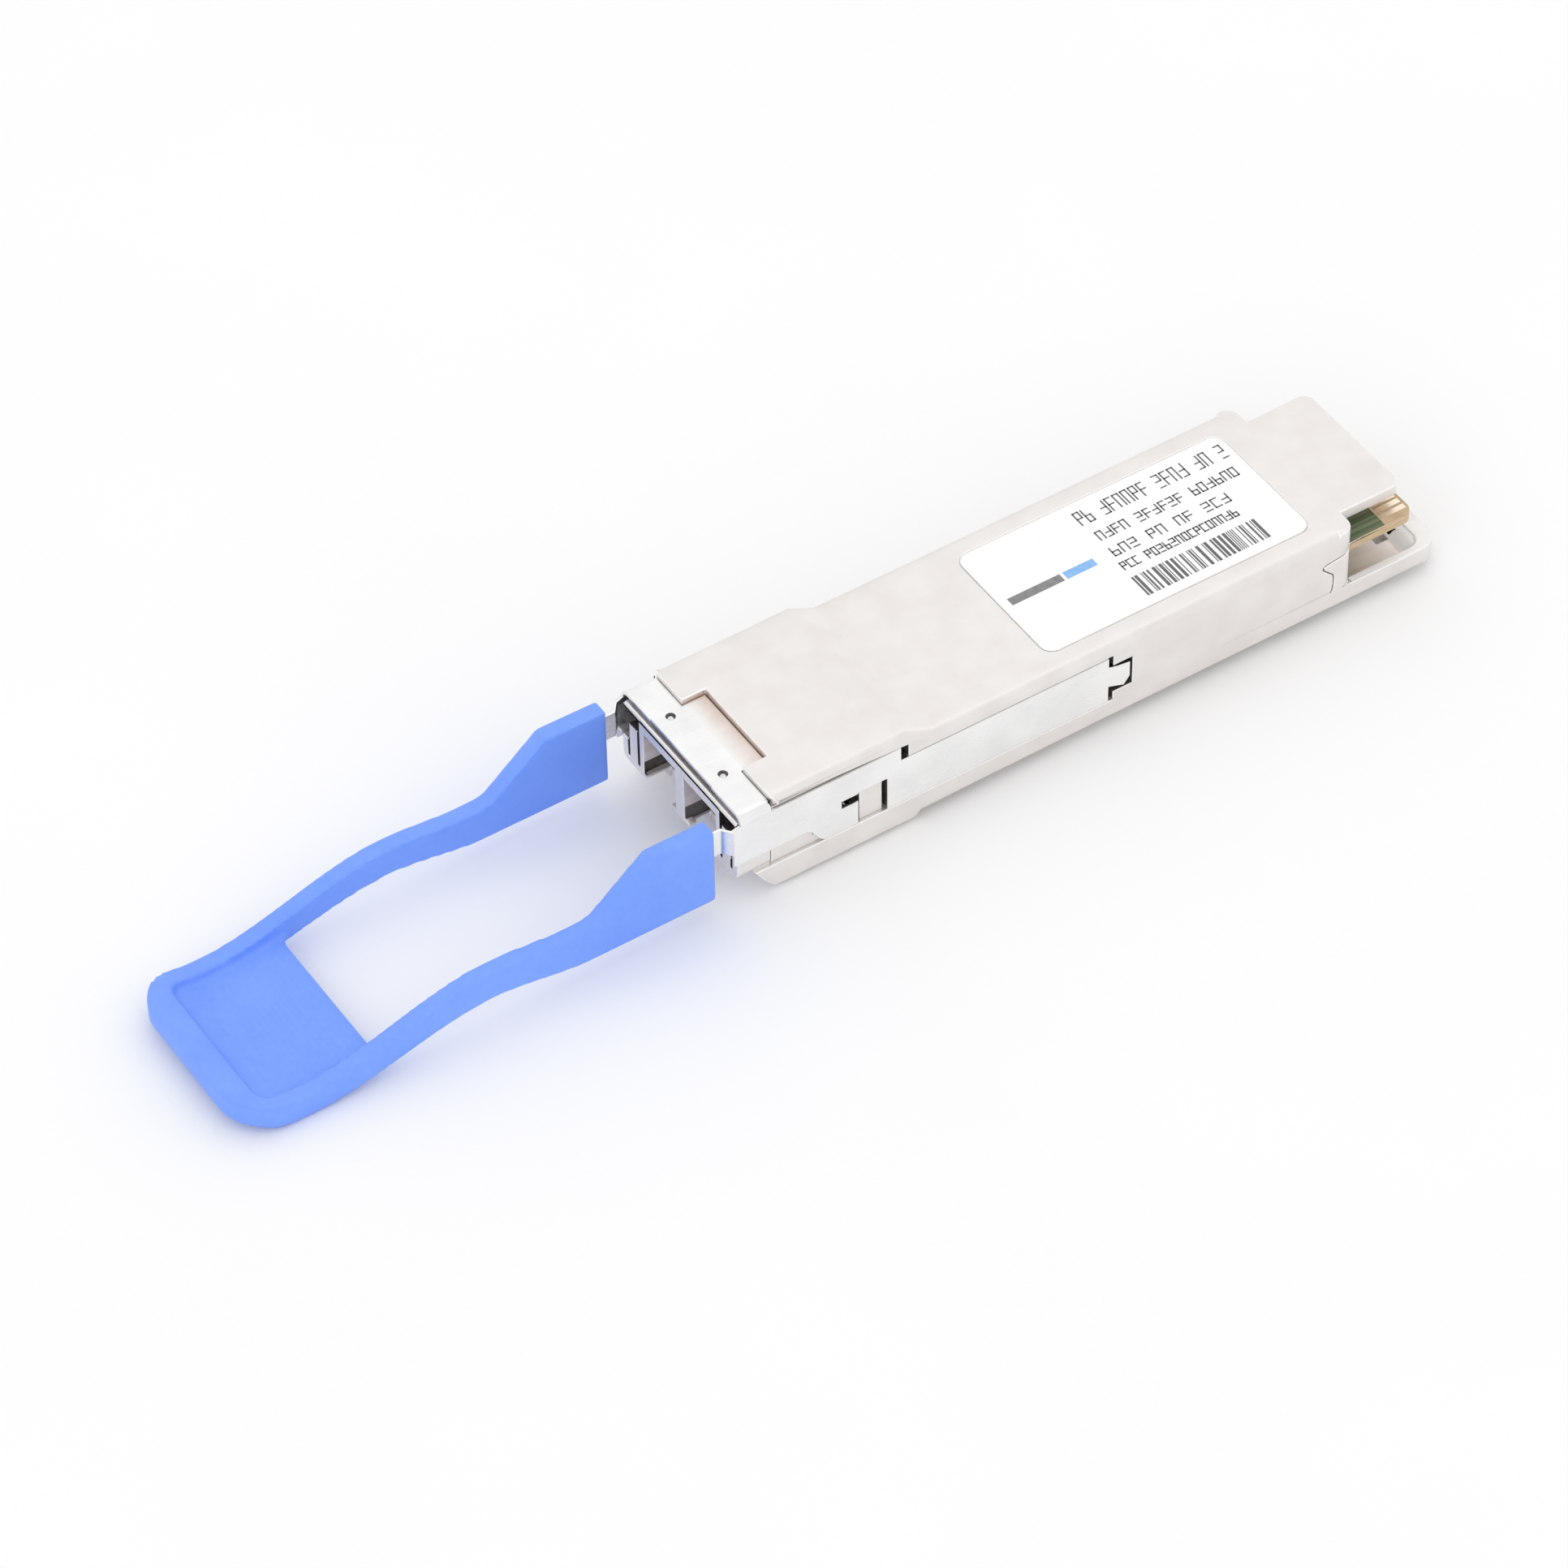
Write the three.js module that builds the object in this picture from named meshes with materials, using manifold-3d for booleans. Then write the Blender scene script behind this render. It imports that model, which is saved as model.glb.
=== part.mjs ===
// Pluggable optical transceiver module: a die-cast housing in two halves, a spring-returned latch
// slider with a moulded pull tab, a duplex fibre receptacle at the nose and a card edge at the rear.
//
// Millimetres. +X runs from the pull tab to the card edge, +Z points up through the label side, and
// y = 0 is the plane of symmetry. Sizes are worked out in a module frame whose x = 0 is the front of
// the nose and whose z = 0 is the underside behind the foot. The finished group is then shifted so
// that its origin is the centre of the base of its bounding box.

import * as THREE from 'three';
import { mergeVertices } from 'three/addons/utils/BufferGeometryUtils.js';
import Module from 'manifold-3d';

const wasm = await Module();
wasm.setup();

// ---------------------------------------------------------------- driving dimensions

const BODY = {
  halfWidth: 9.175,
  height: 8.5,
  length: 72.4,
  noseTop: 9.85,
  seam: 2.0, // height where the two halves meet along the sides
  rearEdge: 62.9, // where the side walls end and the open card-edge tray begins
};
const GAP = 0.05; // clearance between neighbouring pieces
const MESH_TOLERANCE = 0.003; // slivers finer than this are merged away

const SHEET = 0.3; // thickness of the latch slider's stainless sheet
const SHELL_SIDE = BODY.halfWidth - SHEET - 0.025; // housing side face behind the slider's arms

const NOSE = {
  front: -0.2,
  depth: 3.1,
  bottom: 1.65,
  top: 8.3,
  chamfer: 0.25,
  halfWidth: 8.85,
  cornerRadius: 0.9,
  postTop: 4.35, // outer columns end here, and the nose steps in to its waist
  waist: 7.75,
  lipBottom: 8.0,
  lipHalfWidth: 8.6,
};
const LIP_TRENCH = { front: 0.35, halfWidth: 4.7, floor: 7.9 }; // hollow behind the lip, under the collar
// Upright grooves in the front of the nose posts, and the pocket above them beside the lip.
const POST_GROOVES = [
  { inner: 7.75, outer: 8.0, bottom: 2.5, top: NOSE.postTop + 0.1, depth: 0.9 },
  { inner: 6.2, outer: 6.5, bottom: 2.5, top: 6.6, depth: 0.6 },
  { inner: 6.2, outer: 8.8, bottom: 6.5, top: NOSE.lipBottom, depth: 1.6 },
];
const PORT = { pitch: 6.25, width: 4.9, floor: 1.95, ceiling: 6.95, ledge: 0.3, floorFront: 2.25 };
const PORT_GROOVE = { front: 0, top: 3.4, depth: 0.35 }; // undercut along the outer wall of each port
const DIVIDER_FOOT = { halfWidth: 1.4, rear: 0.6, top: 2.1 };
// Foot under the nose: its front face slopes up to a knee, and from there to the seam.
const FOOT = { front: 3.4, rear: 17.2, stepEnd: 18.0, bottom: -0.75, kneeX: 2.3, kneeZ: 0.5, topX: 1.35 };
const FLOOR_TOP = 1.0;
const CAVITY = { frontHalfWidth: 7.7, rearHalfWidth: 8.3, widens: 40, noseHalfWidth: 6.75, noseEnd: 14.4 };
const ROOF = { rampStart: 16.6, rampEnd: 19.3, noseUnderside: 7.9, rearUnderside: 7.3 };
const ARM_RECESS = { frontTop: 8.6, step: 16.65, rearTop: 7.15, end: 37.4 };
const COVER_FRONT = NOSE.depth + GAP;
const SHOULDER_RADIUS = 1.3; // plan corners where the side walls end
const TONGUE = { end: 69.4, halfWidth: 6.85, corner: 1.0 };
// Open tray under the card edge: its floor ramps up to a broad rim at the tip.
const LIP = { tipTop: 1.9, wall: 0.8, corner: 2.0, rampStart: 68.9, rampEnd: 70.8, rampTop: 1.8 };
const LIP_HOLE = { xMin: 68.0, xMax: 69.2, inner: 4.9, outer: 5.75 };
const LIP_POCKET = { xMin: 69.5, xMax: 70.0, inner: 5.0, outer: 5.5, floor: 0.4 };
// Hooked upright at each rear corner of the lower half: x of its front edge, heights of its bends.
const HOOK = {
  front: 60.6, bulge: 60.95, tip: 59.6, browX: 60.0, topX: 62.0, heelX: 62.75,
  bottomCurve: 3.0, neck: 4.05, chin: 5.0, nose: 5.3, brow: 5.5, top: 5.8, heel: 6.3,
  root: 1.8, bow: 0.15, neckSet: 0.2,
};
const HOOK_SEAM = 0.13; // gap between the hook and the cover

const SLIDER = {
  collarTop: 9.35,
  bendRadius: 0.9,
  cutBack: 0.1, // the collar's front edge steps back over the middle
  cutHalfWidth: 4.7,
  plateFront: -0.7,
  frontBottom: 3.95,
  dropStart: 6.5,
  dropEnd: 8.3,
  bottom: BODY.seam + GAP,
  end: 37.1,
  tongueHalfWidth: 4.55,
  tongueEnd: 5.4,
  dimpleRadius: 0.42,
  dimpleX: 1.65,
  dimpleY: 4.0,
};
const TONGUE_POCKET = { halfWidth: 4.65, end: 5.55, floor: 8.75 };
const WINDOW = { xMin: 11.65, xMax: 14.55, top: 5.7 };
const RELIEF = { xMin: 10.0, bottom: 4.7, top: 5.55 }; // hooked slot beside the window
const NOTCH = { xMin: 15.95, bottom: 7.1 }; // relief where the arm steps down
// Tab at the end of each arm: an upper edge that falls in two slopes, and a heel below.
const END_TAB = {
  end: 39.3, top: 6.05, bendX: 38.0, bendTop: 5.8, endTop: 5.6,
  bottom: 3.75, endBottom: 3.95, heelX: 38.7, heel: 3.15,
};
const END_POCKET = { end: 39.5, bottom: 3.0, depth: 0.9 };
const END_SLOT = { xMax: 37.5, depth: 1.0 };
const SHADOW_GROOVE = { width: 0.3, depth: 1.0 }; // deep slots in the housing behind the plate's cut edges
const EAR = { bottom: 5.3, top: 8.1, outerY: 8.3, jogFront: -1.4, tangEnd: -8.5 };

const SPRING = { radius: 0.72, wire: 0.14, turns: 5, y: 8.05, z: 3.85, xMin: 7.35, xMax: 11.25 };
const SPRING_POCKET = { xMin: 7.3, xMax: 11.8, yMin: 7.2, zMin: 2.95, zMax: 4.75 };

const TAB = {
  halfWidth: 9.2,
  wall: 1.75,
  rear: -2.45,
  tip: -48.05,
  cornerRadius: 4.4,
  tipRound: 0.9,
  webRear: -34.6,
  webFront: -45.3,
  webThickness: 0.8,
  webCorner: 1.0,
  recessCorner: 1.2,
};
// Side view of an arm: heights of its upper and lower edges where their slope is level or breaks.
const ARM_TOP = {
  rear: 9.25, shoulderX: -8.4, shoulder: 9.4, slopeEndX: -13.9, slopeEnd: 4.8,
  dipX: -16.4, dip: 4.6, crestX: -23.8, crest: 5.15, troughX: -41.5, trough: 1.3, tip: 2.4,
};
const ARM_BOTTOM = {
  rear: 1.05, riseX: -14.5, crestX: -24.0, crest: 2.25, troughX: -41.5, trough: -1.05, tip: -0.1,
};

const LABEL = { xMin: 32.3, xMax: 59.8, halfWidth: 6.95, corner: 1.2, thickness: 0.08, recess: 0.1 };

const BOARD = {
  front: 22.5, rear: 69.9, bottom: 4.95, top: 5.95,
  frontHalfWidth: 7.6, rearHalfWidth: 8.2, widens: 42, corner: 1.0,
};
const PROCESSOR = { x: 35.5, length: 10, width: 10, height: 0.8 };
const LASER_DRIVER = { x: 27.5, length: 3.0, width: 3.0, height: 0.8 };
const RECEIVER_AMPLIFIER = { x: 27.5, length: 2.4, width: 2.8, height: 0.7 };
const INDUCTOR = { x: 46.5, y: -4.2, length: 2.8, width: 2.8, height: 1.1 };
const MICROCONTROLLER = { x: 46, length: 5.0, width: 5.0, height: 0.9 };
const CONTACT = { count: 19, pitch: 0.8, width: 0.54, front: 67.05, rear: 69.6, thickness: 0.05, bar: 0.25 };
const RAIL = { xMin: 24, xMax: 36, inner: 7.0 };

const RECEPTACLE = { front: 3.2, rear: 11.0, halfWidth: 6.5, bottom: 1.05, top: 7.8, wallFront: 9.2 };
const SLEEVE = { outer: 1.5, bore: 0.63, front: 6.4, rear: 10.9 };
const CLAMP = { front: 11.1, rear: 11.7, halfWidth: 6.4, bottom: 1.1, top: 7.5 };
const OPTICS = {
  barrelFront: 11.05, barrelRadius: 1.45, canFront: 13.4, rear: 20.9, width: 5.3, bottom: 1.9, top: 7.0,
};
const OPTICS_PAD = { length: 4.0, inset: 0.4 };
const FLEX = { width: 4.2, thickness: 0.12, bend: 21.7, rear: 25.0, exitZ: 3.9 };

const SCREW = {
  headRadius: 1.25, headHeight: 0.6, shankRadius: 0.7, tip: 4.0, socketRadius: 0.45, socketDepth: 0.4,
};
const SCREW_PLACES = [
  { name: 'front_left_screw', x: 22.6, y: 6.6 },
  { name: 'front_right_screw', x: 22.6, y: -6.6 },
  { name: 'rear_left_screw', x: 57.0, y: 6.6 },
  { name: 'rear_right_screw', x: 57.0, y: -6.6 },
];
const BOSS_RADIUS = 1.15;
const BOARD_CLEARANCE_RADIUS = 1.4;

const GASKET = { xMin: 41, xMax: 58, yMin: 8.5, yMax: 8.9, depth: 0.45 };
const ROUND_SEGMENTS = 24;

const PORT_CENTRES = [PORT.pitch / 2, -PORT.pitch / 2];
const SIDES = [{ name: 'left', sign: 1 }, { name: 'right', sign: -1 }];

// ---------------------------------------------------------------- materials

const MATERIALS = {
  dieCast: { color: 0xe4dfdb, roughness: 0.42, metalness: 0.75 },
  stainless: { color: 0xf0f0ef, roughness: 0.22, metalness: 0.95 },
  springSteel: { color: 0xb9bcc0, roughness: 0.3, metalness: 1.0 },
  bluePlastic: { color: 0x6f9cf8, roughness: 0.5, metalness: 0.0 },
  labelFilm: { color: 0xfdfdfd, roughness: 0.55, metalness: 0.0 },
  blackPlastic: { color: 0x2b2b2e, roughness: 0.5, metalness: 0.0 },
  ceramic: { color: 0xf3efe4, roughness: 0.3, metalness: 0.0 },
  goldPlate: { color: 0xd9b36a, roughness: 0.28, metalness: 1.0 },
  boardGreen: { color: 0x3f6b45, roughness: 0.45, metalness: 0.0 },
  flexAmber: { color: 0xb5742a, roughness: 0.5, metalness: 0.0 },
  chipBlack: { color: 0x1d1f22, roughness: 0.55, metalness: 0.0 },
  padGrey: { color: 0x8f9aa6, roughness: 0.9, metalness: 0.0 },
  gasketGrey: { color: 0x55585c, roughness: 0.85, metalness: 0.1 },
};

// ---------------------------------------------------------------- solid helpers

function solid(geometry) {
  const bare = geometry.clone();
  bare.deleteAttribute('normal');
  bare.deleteAttribute('uv');
  const merged = mergeVertices(bare, 1e-5);
  return new wasm.Manifold(new wasm.Mesh({
    numProp: 3,
    vertProperties: new Float32Array(merged.attributes.position.array),
    triVerts: new Uint32Array(merged.index.array),
  }));
}

function box(xMin, xMax, yMin, yMax, zMin, zMax) {
  const geometry = new THREE.BoxGeometry(xMax - xMin, yMax - yMin, zMax - zMin);
  geometry.translate((xMin + xMax) / 2, (yMin + yMax) / 2, (zMin + zMax) / 2);
  return solid(geometry);
}

// A box on both sides of the symmetry plane, between two distances from it.
function pairOfBoxes(xMin, xMax, inner, outer, zMin, zMax) {
  return box(xMin, xMax, inner, outer, zMin, zMax).add(box(xMin, xMax, -outer, -inner, zMin, zMax));
}

function extrude(shape, depth, basis, offset, curveSegments = 8) {
  const geometry = new THREE.ExtrudeGeometry(shape, { depth, bevelEnabled: false, curveSegments });
  geometry.applyMatrix4(new THREE.Matrix4().makeBasis(...basis));
  geometry.translate(...offset);
  return solid(geometry);
}

const X = new THREE.Vector3(1, 0, 0);
const Y = new THREE.Vector3(0, 1, 0);
const Z = new THREE.Vector3(0, 0, 1);

// Outline in plan (x, y), raised from zMin to zMax.
function planPrism(shape, zMin, zMax, curveSegments) {
  return extrude(shape, zMax - zMin, [X, Y, Z], [0, 0, zMin], curveSegments);
}

// Outline in side view (x, z), running across from yMin to yMax.
function sidePrism(shape, yMin, yMax, curveSegments) {
  return extrude(shape, yMax - yMin, [X, Z, Y.clone().negate()], [0, yMax, 0], curveSegments);
}

// Outline in end view (y, z), running along from xMin to xMax.
function endPrism(shape, xMin, xMax, curveSegments) {
  return extrude(shape, xMax - xMin, [Y, Z, X], [xMin, 0, 0], curveSegments);
}

function polygon(points) {
  return new THREE.Shape(points.map(([u, v]) => new THREE.Vector2(u, v)));
}

function roundedRectangle(uMin, uMax, vMin, vMax, radius) {
  const shape = new THREE.Shape();
  shape.moveTo(uMin + radius, vMin);
  shape.lineTo(uMax - radius, vMin);
  shape.absarc(uMax - radius, vMin + radius, radius, -Math.PI / 2, 0);
  shape.lineTo(uMax, vMax - radius);
  shape.absarc(uMax - radius, vMax - radius, radius, 0, Math.PI / 2);
  shape.lineTo(uMin + radius, vMax);
  shape.absarc(uMin + radius, vMax - radius, radius, Math.PI / 2, Math.PI);
  shape.lineTo(uMin, vMin + radius);
  shape.absarc(uMin + radius, vMin + radius, radius, Math.PI, 1.5 * Math.PI);
  return shape;
}

// A turned piece: [radius, x] pairs of half its section, about an axis along X at (y, z).
function turned(profile, y, z) {
  const geometry = new THREE.LatheGeometry(profile.map(([r, x]) => new THREE.Vector2(r, x)), ROUND_SEGMENTS);
  geometry.rotateZ(-Math.PI / 2);
  geometry.translate(0, y, z);
  return solid(geometry);
}

function rodAlongX(radius, xMin, xMax, y, z) {
  return turned([[0, xMin], [radius, xMin], [radius, xMax], [0, xMax]], y, z);
}

function rodAlongZ(radius, zMin, zMax, x, y, segments = ROUND_SEGMENTS) {
  const geometry = new THREE.CylinderGeometry(radius, radius, zMax - zMin, segments);
  geometry.rotateX(Math.PI / 2);
  geometry.translate(x, y, (zMin + zMax) / 2);
  return solid(geometry);
}

function mirrored(piece) {
  return piece.mirror([0, 1, 0]);
}

function withMirror(piece) {
  return piece.add(mirrored(piece));
}

function joined(pieces) {
  return pieces.reduce((whole, piece) => whole.add(piece));
}

function cutBy(whole, tools) {
  return tools.reduce((rest, tool) => rest.subtract(tool), whole);
}

// A level-to-level transition between two heights, drawn from the current point of an outline.
function easeTo(shape, fromX, fromZ, toX, toZ) {
  const third = (toX - fromX) / 3;
  shape.bezierCurveTo(fromX + third, fromZ, toX - third, toZ, toX, toZ);
}

// ---------------------------------------------------------------- lower housing

function lowerShell() {
  const tray = sidePrism(polygon([
    [FOOT.front, FOOT.bottom],
    [FOOT.rear, FOOT.bottom],
    [FOOT.stepEnd, 0],
    [BODY.length, 0],
    [BODY.length, LIP.tipTop],
    [BODY.rearEdge, BODY.seam],
    [FOOT.topX, BODY.seam],
    [FOOT.kneeX, FOOT.kneeZ],
  ]), -BODY.halfWidth, BODY.halfWidth);
  const frontReach = FOOT.topX - LIP.corner;
  const trayPlan = planPrism(
    roundedRectangle(frontReach - LIP.corner, BODY.length, -BODY.halfWidth, BODY.halfWidth, LIP.corner),
    FOOT.bottom, BODY.seam,
  ).add(box(frontReach, BODY.rearEdge, -BODY.halfWidth, BODY.halfWidth, FOOT.bottom, BODY.seam));

  const body = joined([
    tray.intersect(trayPlan),
    withMirror(noseHalf()),
    dividerFoot(),
    withMirror(hookBlock(0, 0).intersect(shoulderPlan())),
    pairOfBoxes(RAIL.xMin, RAIL.xMax, RAIL.inner, CAVITY.frontHalfWidth - GAP, FLOOR_TOP, BOARD.bottom - GAP),
  ]);
  const innerSpace = joined([
    box(NOSE.depth, CAVITY.noseEnd, -CAVITY.noseHalfWidth, CAVITY.noseHalfWidth, FLOOR_TOP, NOSE.top + 1),
    box(CAVITY.noseEnd, CAVITY.widens, -RAIL.inner, RAIL.inner, FLOOR_TOP, BODY.seam + GAP),
    trayHollow(),
  ]);
  return cutBy(body, [
    innerSpace, portOpenings(), postGrooves(), lipFrontCuts(), bossClearances(), lipHoles(), gasketGrooves(),
    screwHolesInFloor(),
  ]);
}

// Hollow of the open tray, from the widened cavity to the ramp up to the rim.
function trayHollow() {
  const outline = new THREE.Shape();
  outline.moveTo(CAVITY.widens, FLOOR_TOP);
  outline.lineTo(LIP.rampStart, FLOOR_TOP);
  easeTo(outline, LIP.rampStart, FLOOR_TOP, LIP.rampEnd, LIP.rampTop);
  outline.lineTo(LIP.rampEnd, BODY.seam + 1);
  outline.lineTo(CAVITY.widens, BODY.seam + 1);
  const inner = BODY.halfWidth - LIP.wall;
  const plan = planPrism(
    roundedRectangle(CAVITY.widens - LIP.corner, LIP.rampEnd, -inner, inner, LIP.corner - LIP.wall),
    0, BODY.seam + 1,
  );
  return sidePrism(outline, -inner, inner).intersect(plan);
}

// Left half of the nose: an outer post rounded at its lower corner, a waist above it and a thin lip on top.
function noseHalf() {
  const centreY = NOSE.halfWidth - NOSE.cornerRadius;
  const outline = new THREE.Shape();
  outline.moveTo(-GAP, NOSE.bottom);
  outline.lineTo(centreY, NOSE.bottom);
  outline.absarc(centreY, NOSE.bottom + NOSE.cornerRadius, NOSE.cornerRadius, -Math.PI / 2, 0);
  outline.lineTo(NOSE.halfWidth, NOSE.postTop);
  outline.lineTo(NOSE.waist, NOSE.postTop);
  outline.lineTo(NOSE.waist, NOSE.lipBottom);
  outline.lineTo(NOSE.lipHalfWidth, NOSE.lipBottom);
  outline.lineTo(NOSE.lipHalfWidth, NOSE.top);
  outline.lineTo(-GAP, NOSE.top);
  return endPrism(outline, NOSE.front, NOSE.depth, 4);
}

// Small foot at the bottom of the divider between the two ports.
function dividerFoot() {
  return box(
    NOSE.front, DIVIDER_FOOT.rear, -DIVIDER_FOOT.halfWidth, DIVIDER_FOOT.halfWidth,
    NOSE.bottom, DIVIDER_FOOT.top,
  );
}

// Each fibre port runs right through the nose, with a narrow ledge along both of its lower edges and
// a floor that starts part of the way back. An undercut runs along its outer wall.
function portOpenings() {
  const half = PORT.width / 2;
  const ahead = NOSE.front - 1;
  return joined(PORT_CENTRES.map((y) => {
    const outward = Math.sign(y);
    const wall = y + outward * half;
    const undercut = [wall - outward * GAP, wall + outward * PORT_GROOVE.depth].sort((a, b) => a - b);
    const foot = box(
      ahead, DIVIDER_FOOT.rear, -DIVIDER_FOOT.halfWidth, DIVIDER_FOOT.halfWidth,
      NOSE.bottom - 1, DIVIDER_FOOT.top,
    );
    return joined([
      box(ahead, NOSE.depth + 1, y - half, y + half, PORT.floor, PORT.ceiling),
      box(
        ahead, PORT.floorFront, y - half + PORT.ledge, y + half - PORT.ledge,
        FOOT.bottom - 1, PORT.floor + GAP,
      ),
    ]).subtract(foot).add(box(PORT_GROOVE.front, NOSE.depth + 1, ...undercut, PORT.floor, PORT_GROOVE.top));
  }));
}

function postGrooves() {
  return joined(POST_GROOVES.map(({ inner, outer, bottom, top, depth }) => (
    pairOfBoxes(NOSE.front - 1, NOSE.front + depth, inner, outer, bottom, top)
  )));
}

// Chamfer along the front of the lip, and the hollow behind it.
function lipFrontCuts() {
  const chamfer = sidePrism(polygon([
    [NOSE.front - GAP, NOSE.top - NOSE.chamfer - GAP],
    [NOSE.front + NOSE.chamfer + GAP, NOSE.top + GAP],
    [NOSE.front - GAP, NOSE.top + GAP],
  ]), -BODY.halfWidth, BODY.halfWidth);
  const trench = box(
    LIP_TRENCH.front, NOSE.depth + 1, -LIP_TRENCH.halfWidth, LIP_TRENCH.halfWidth,
    LIP_TRENCH.floor, NOSE.top + 1,
  );
  return chamfer.add(trench);
}

// Upright at the left rear corner of the lower half, with a hooked front edge that locks into the cover.
// The outline can be shifted forwards and upwards, which makes the room that the cover leaves for it.
function hookBlock(forwards, upwards) {
  const x = (value) => value - forwards;
  const z = (value) => value + upwards;
  const outline = new THREE.Shape();
  outline.moveTo(x(HOOK.front), HOOK.root);
  outline.quadraticCurveTo(x(HOOK.bulge), z(HOOK.bottomCurve), x(HOOK.bulge - HOOK.neckSet), z(HOOK.neck));
  outline.lineTo(x(HOOK.tip + HOOK.bow), z(HOOK.chin));
  outline.quadraticCurveTo(x(HOOK.tip - HOOK.bow), z(HOOK.nose), x(HOOK.browX), z(HOOK.brow));
  outline.lineTo(x(HOOK.topX), z(HOOK.top));
  outline.quadraticCurveTo(x(HOOK.heelX), z(HOOK.top), BODY.rearEdge, z(HOOK.heel));
  outline.lineTo(BODY.rearEdge, HOOK.root);
  return sidePrism(outline, BODY.halfWidth - LIP.wall, BODY.halfWidth, 4);
}

// Plan of the side walls, with rounded corners where they end behind.
function shoulderPlan() {
  return planPrism(roundedRectangle(
    COVER_FRONT - 5, BODY.rearEdge, -BODY.halfWidth, BODY.halfWidth, SHOULDER_RADIUS,
  ), -1, BODY.noseTop + 1);
}

// Room in the lower half for the bosses that hang from the cover.
function bossClearances() {
  return joined(SCREW_PLACES.map(({ x, y }) => (
    rodAlongZ(BOSS_RADIUS + GAP, FLOOR_TOP, BOARD.bottom, x, y)
  )));
}

function lipHoles() {
  return joined([
    pairOfBoxes(LIP_HOLE.xMin, LIP_HOLE.xMax, LIP_HOLE.inner, LIP_HOLE.outer, -1, BODY.seam + 1),
    pairOfBoxes(
      LIP_POCKET.xMin, LIP_POCKET.xMax, LIP_POCKET.inner, LIP_POCKET.outer, LIP_POCKET.floor, BODY.seam + 1,
    ),
  ]);
}

function gasketGrooves() {
  return pairOfBoxes(
    GASKET.xMin - GAP, GASKET.xMax + GAP, GASKET.yMin - GAP, GASKET.yMax + GAP,
    BODY.seam - GASKET.depth - GAP, BODY.seam + 1,
  );
}

function screwHolesInFloor() {
  return joined(SCREW_PLACES.map(({ x, y }) => joined([
    rodAlongZ(SCREW.headRadius + GAP, -1, SCREW.headHeight + GAP, x, y),
    rodAlongZ(SCREW.shankRadius + GAP, -1, FLOOR_TOP + 1, x, y),
  ])));
}

// ---------------------------------------------------------------- upper housing

function upperShell() {
  const roof = sidePrism(polygon([
    [COVER_FRONT, ROOF.noseUnderside],
    [COVER_FRONT, BODY.noseTop],
    [ROOF.rampStart, BODY.noseTop],
    [ROOF.rampEnd, BODY.height],
    [BODY.rearEdge, BODY.height],
    [BODY.rearEdge, ROOF.rearUnderside],
    [ROOF.rampEnd - 1, ROOF.rearUnderside],
    [ROOF.rampStart - 1, ROOF.noseUnderside],
  ]), -BODY.halfWidth, BODY.halfWidth);
  const walls = joined([
    pairOfBoxes(COVER_FRONT, CAVITY.noseEnd, CAVITY.noseHalfWidth, BODY.halfWidth, BODY.seam, BODY.height),
    pairOfBoxes(COVER_FRONT, CAVITY.widens, CAVITY.frontHalfWidth, BODY.halfWidth, BODY.seam, BODY.height),
    pairOfBoxes(CAVITY.widens, BODY.rearEdge, CAVITY.rearHalfWidth, BODY.halfWidth, BODY.seam, BODY.height),
  ]);
  const tongue = planPrism(
    roundedRectangle(BODY.rearEdge - 3, TONGUE.end, -TONGUE.halfWidth, TONGUE.halfWidth, TONGUE.corner),
    ROOF.rearUnderside, BODY.height,
  );
  const body = joined([roof.add(walls).intersect(shoulderPlan()), tongue, screwBosses()]);
  return cutBy(body, [
    armRecesses(),
    tonguePocket(),
    labelRecess(),
    hookClearance(),
    pairOfBoxes(
      SPRING_POCKET.xMin, SPRING_POCKET.xMax, SPRING_POCKET.yMin, BODY.halfWidth + 1,
      SPRING_POCKET.zMin, SPRING_POCKET.zMax,
    ),
    screwTapHoles(),
  ]);
}

// Room for the hook at each rear corner, with an even gap along its edge.
function hookClearance() {
  const shifts = [[0, 0], [HOOK_SEAM, 0], [0, HOOK_SEAM], [HOOK_SEAM, HOOK_SEAM]];
  const oneSide = joined([
    ...shifts.map(([forwards, upwards]) => hookBlock(forwards, upwards)),
    box(
      HOOK.front - HOOK_SEAM, BODY.rearEdge + 1,
      CAVITY.rearHalfWidth - 1, BODY.halfWidth - LIP.wall + GAP, 1, HOOK.top + HOOK_SEAM,
    ),
  ]);
  return withMirror(oneSide);
}

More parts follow.
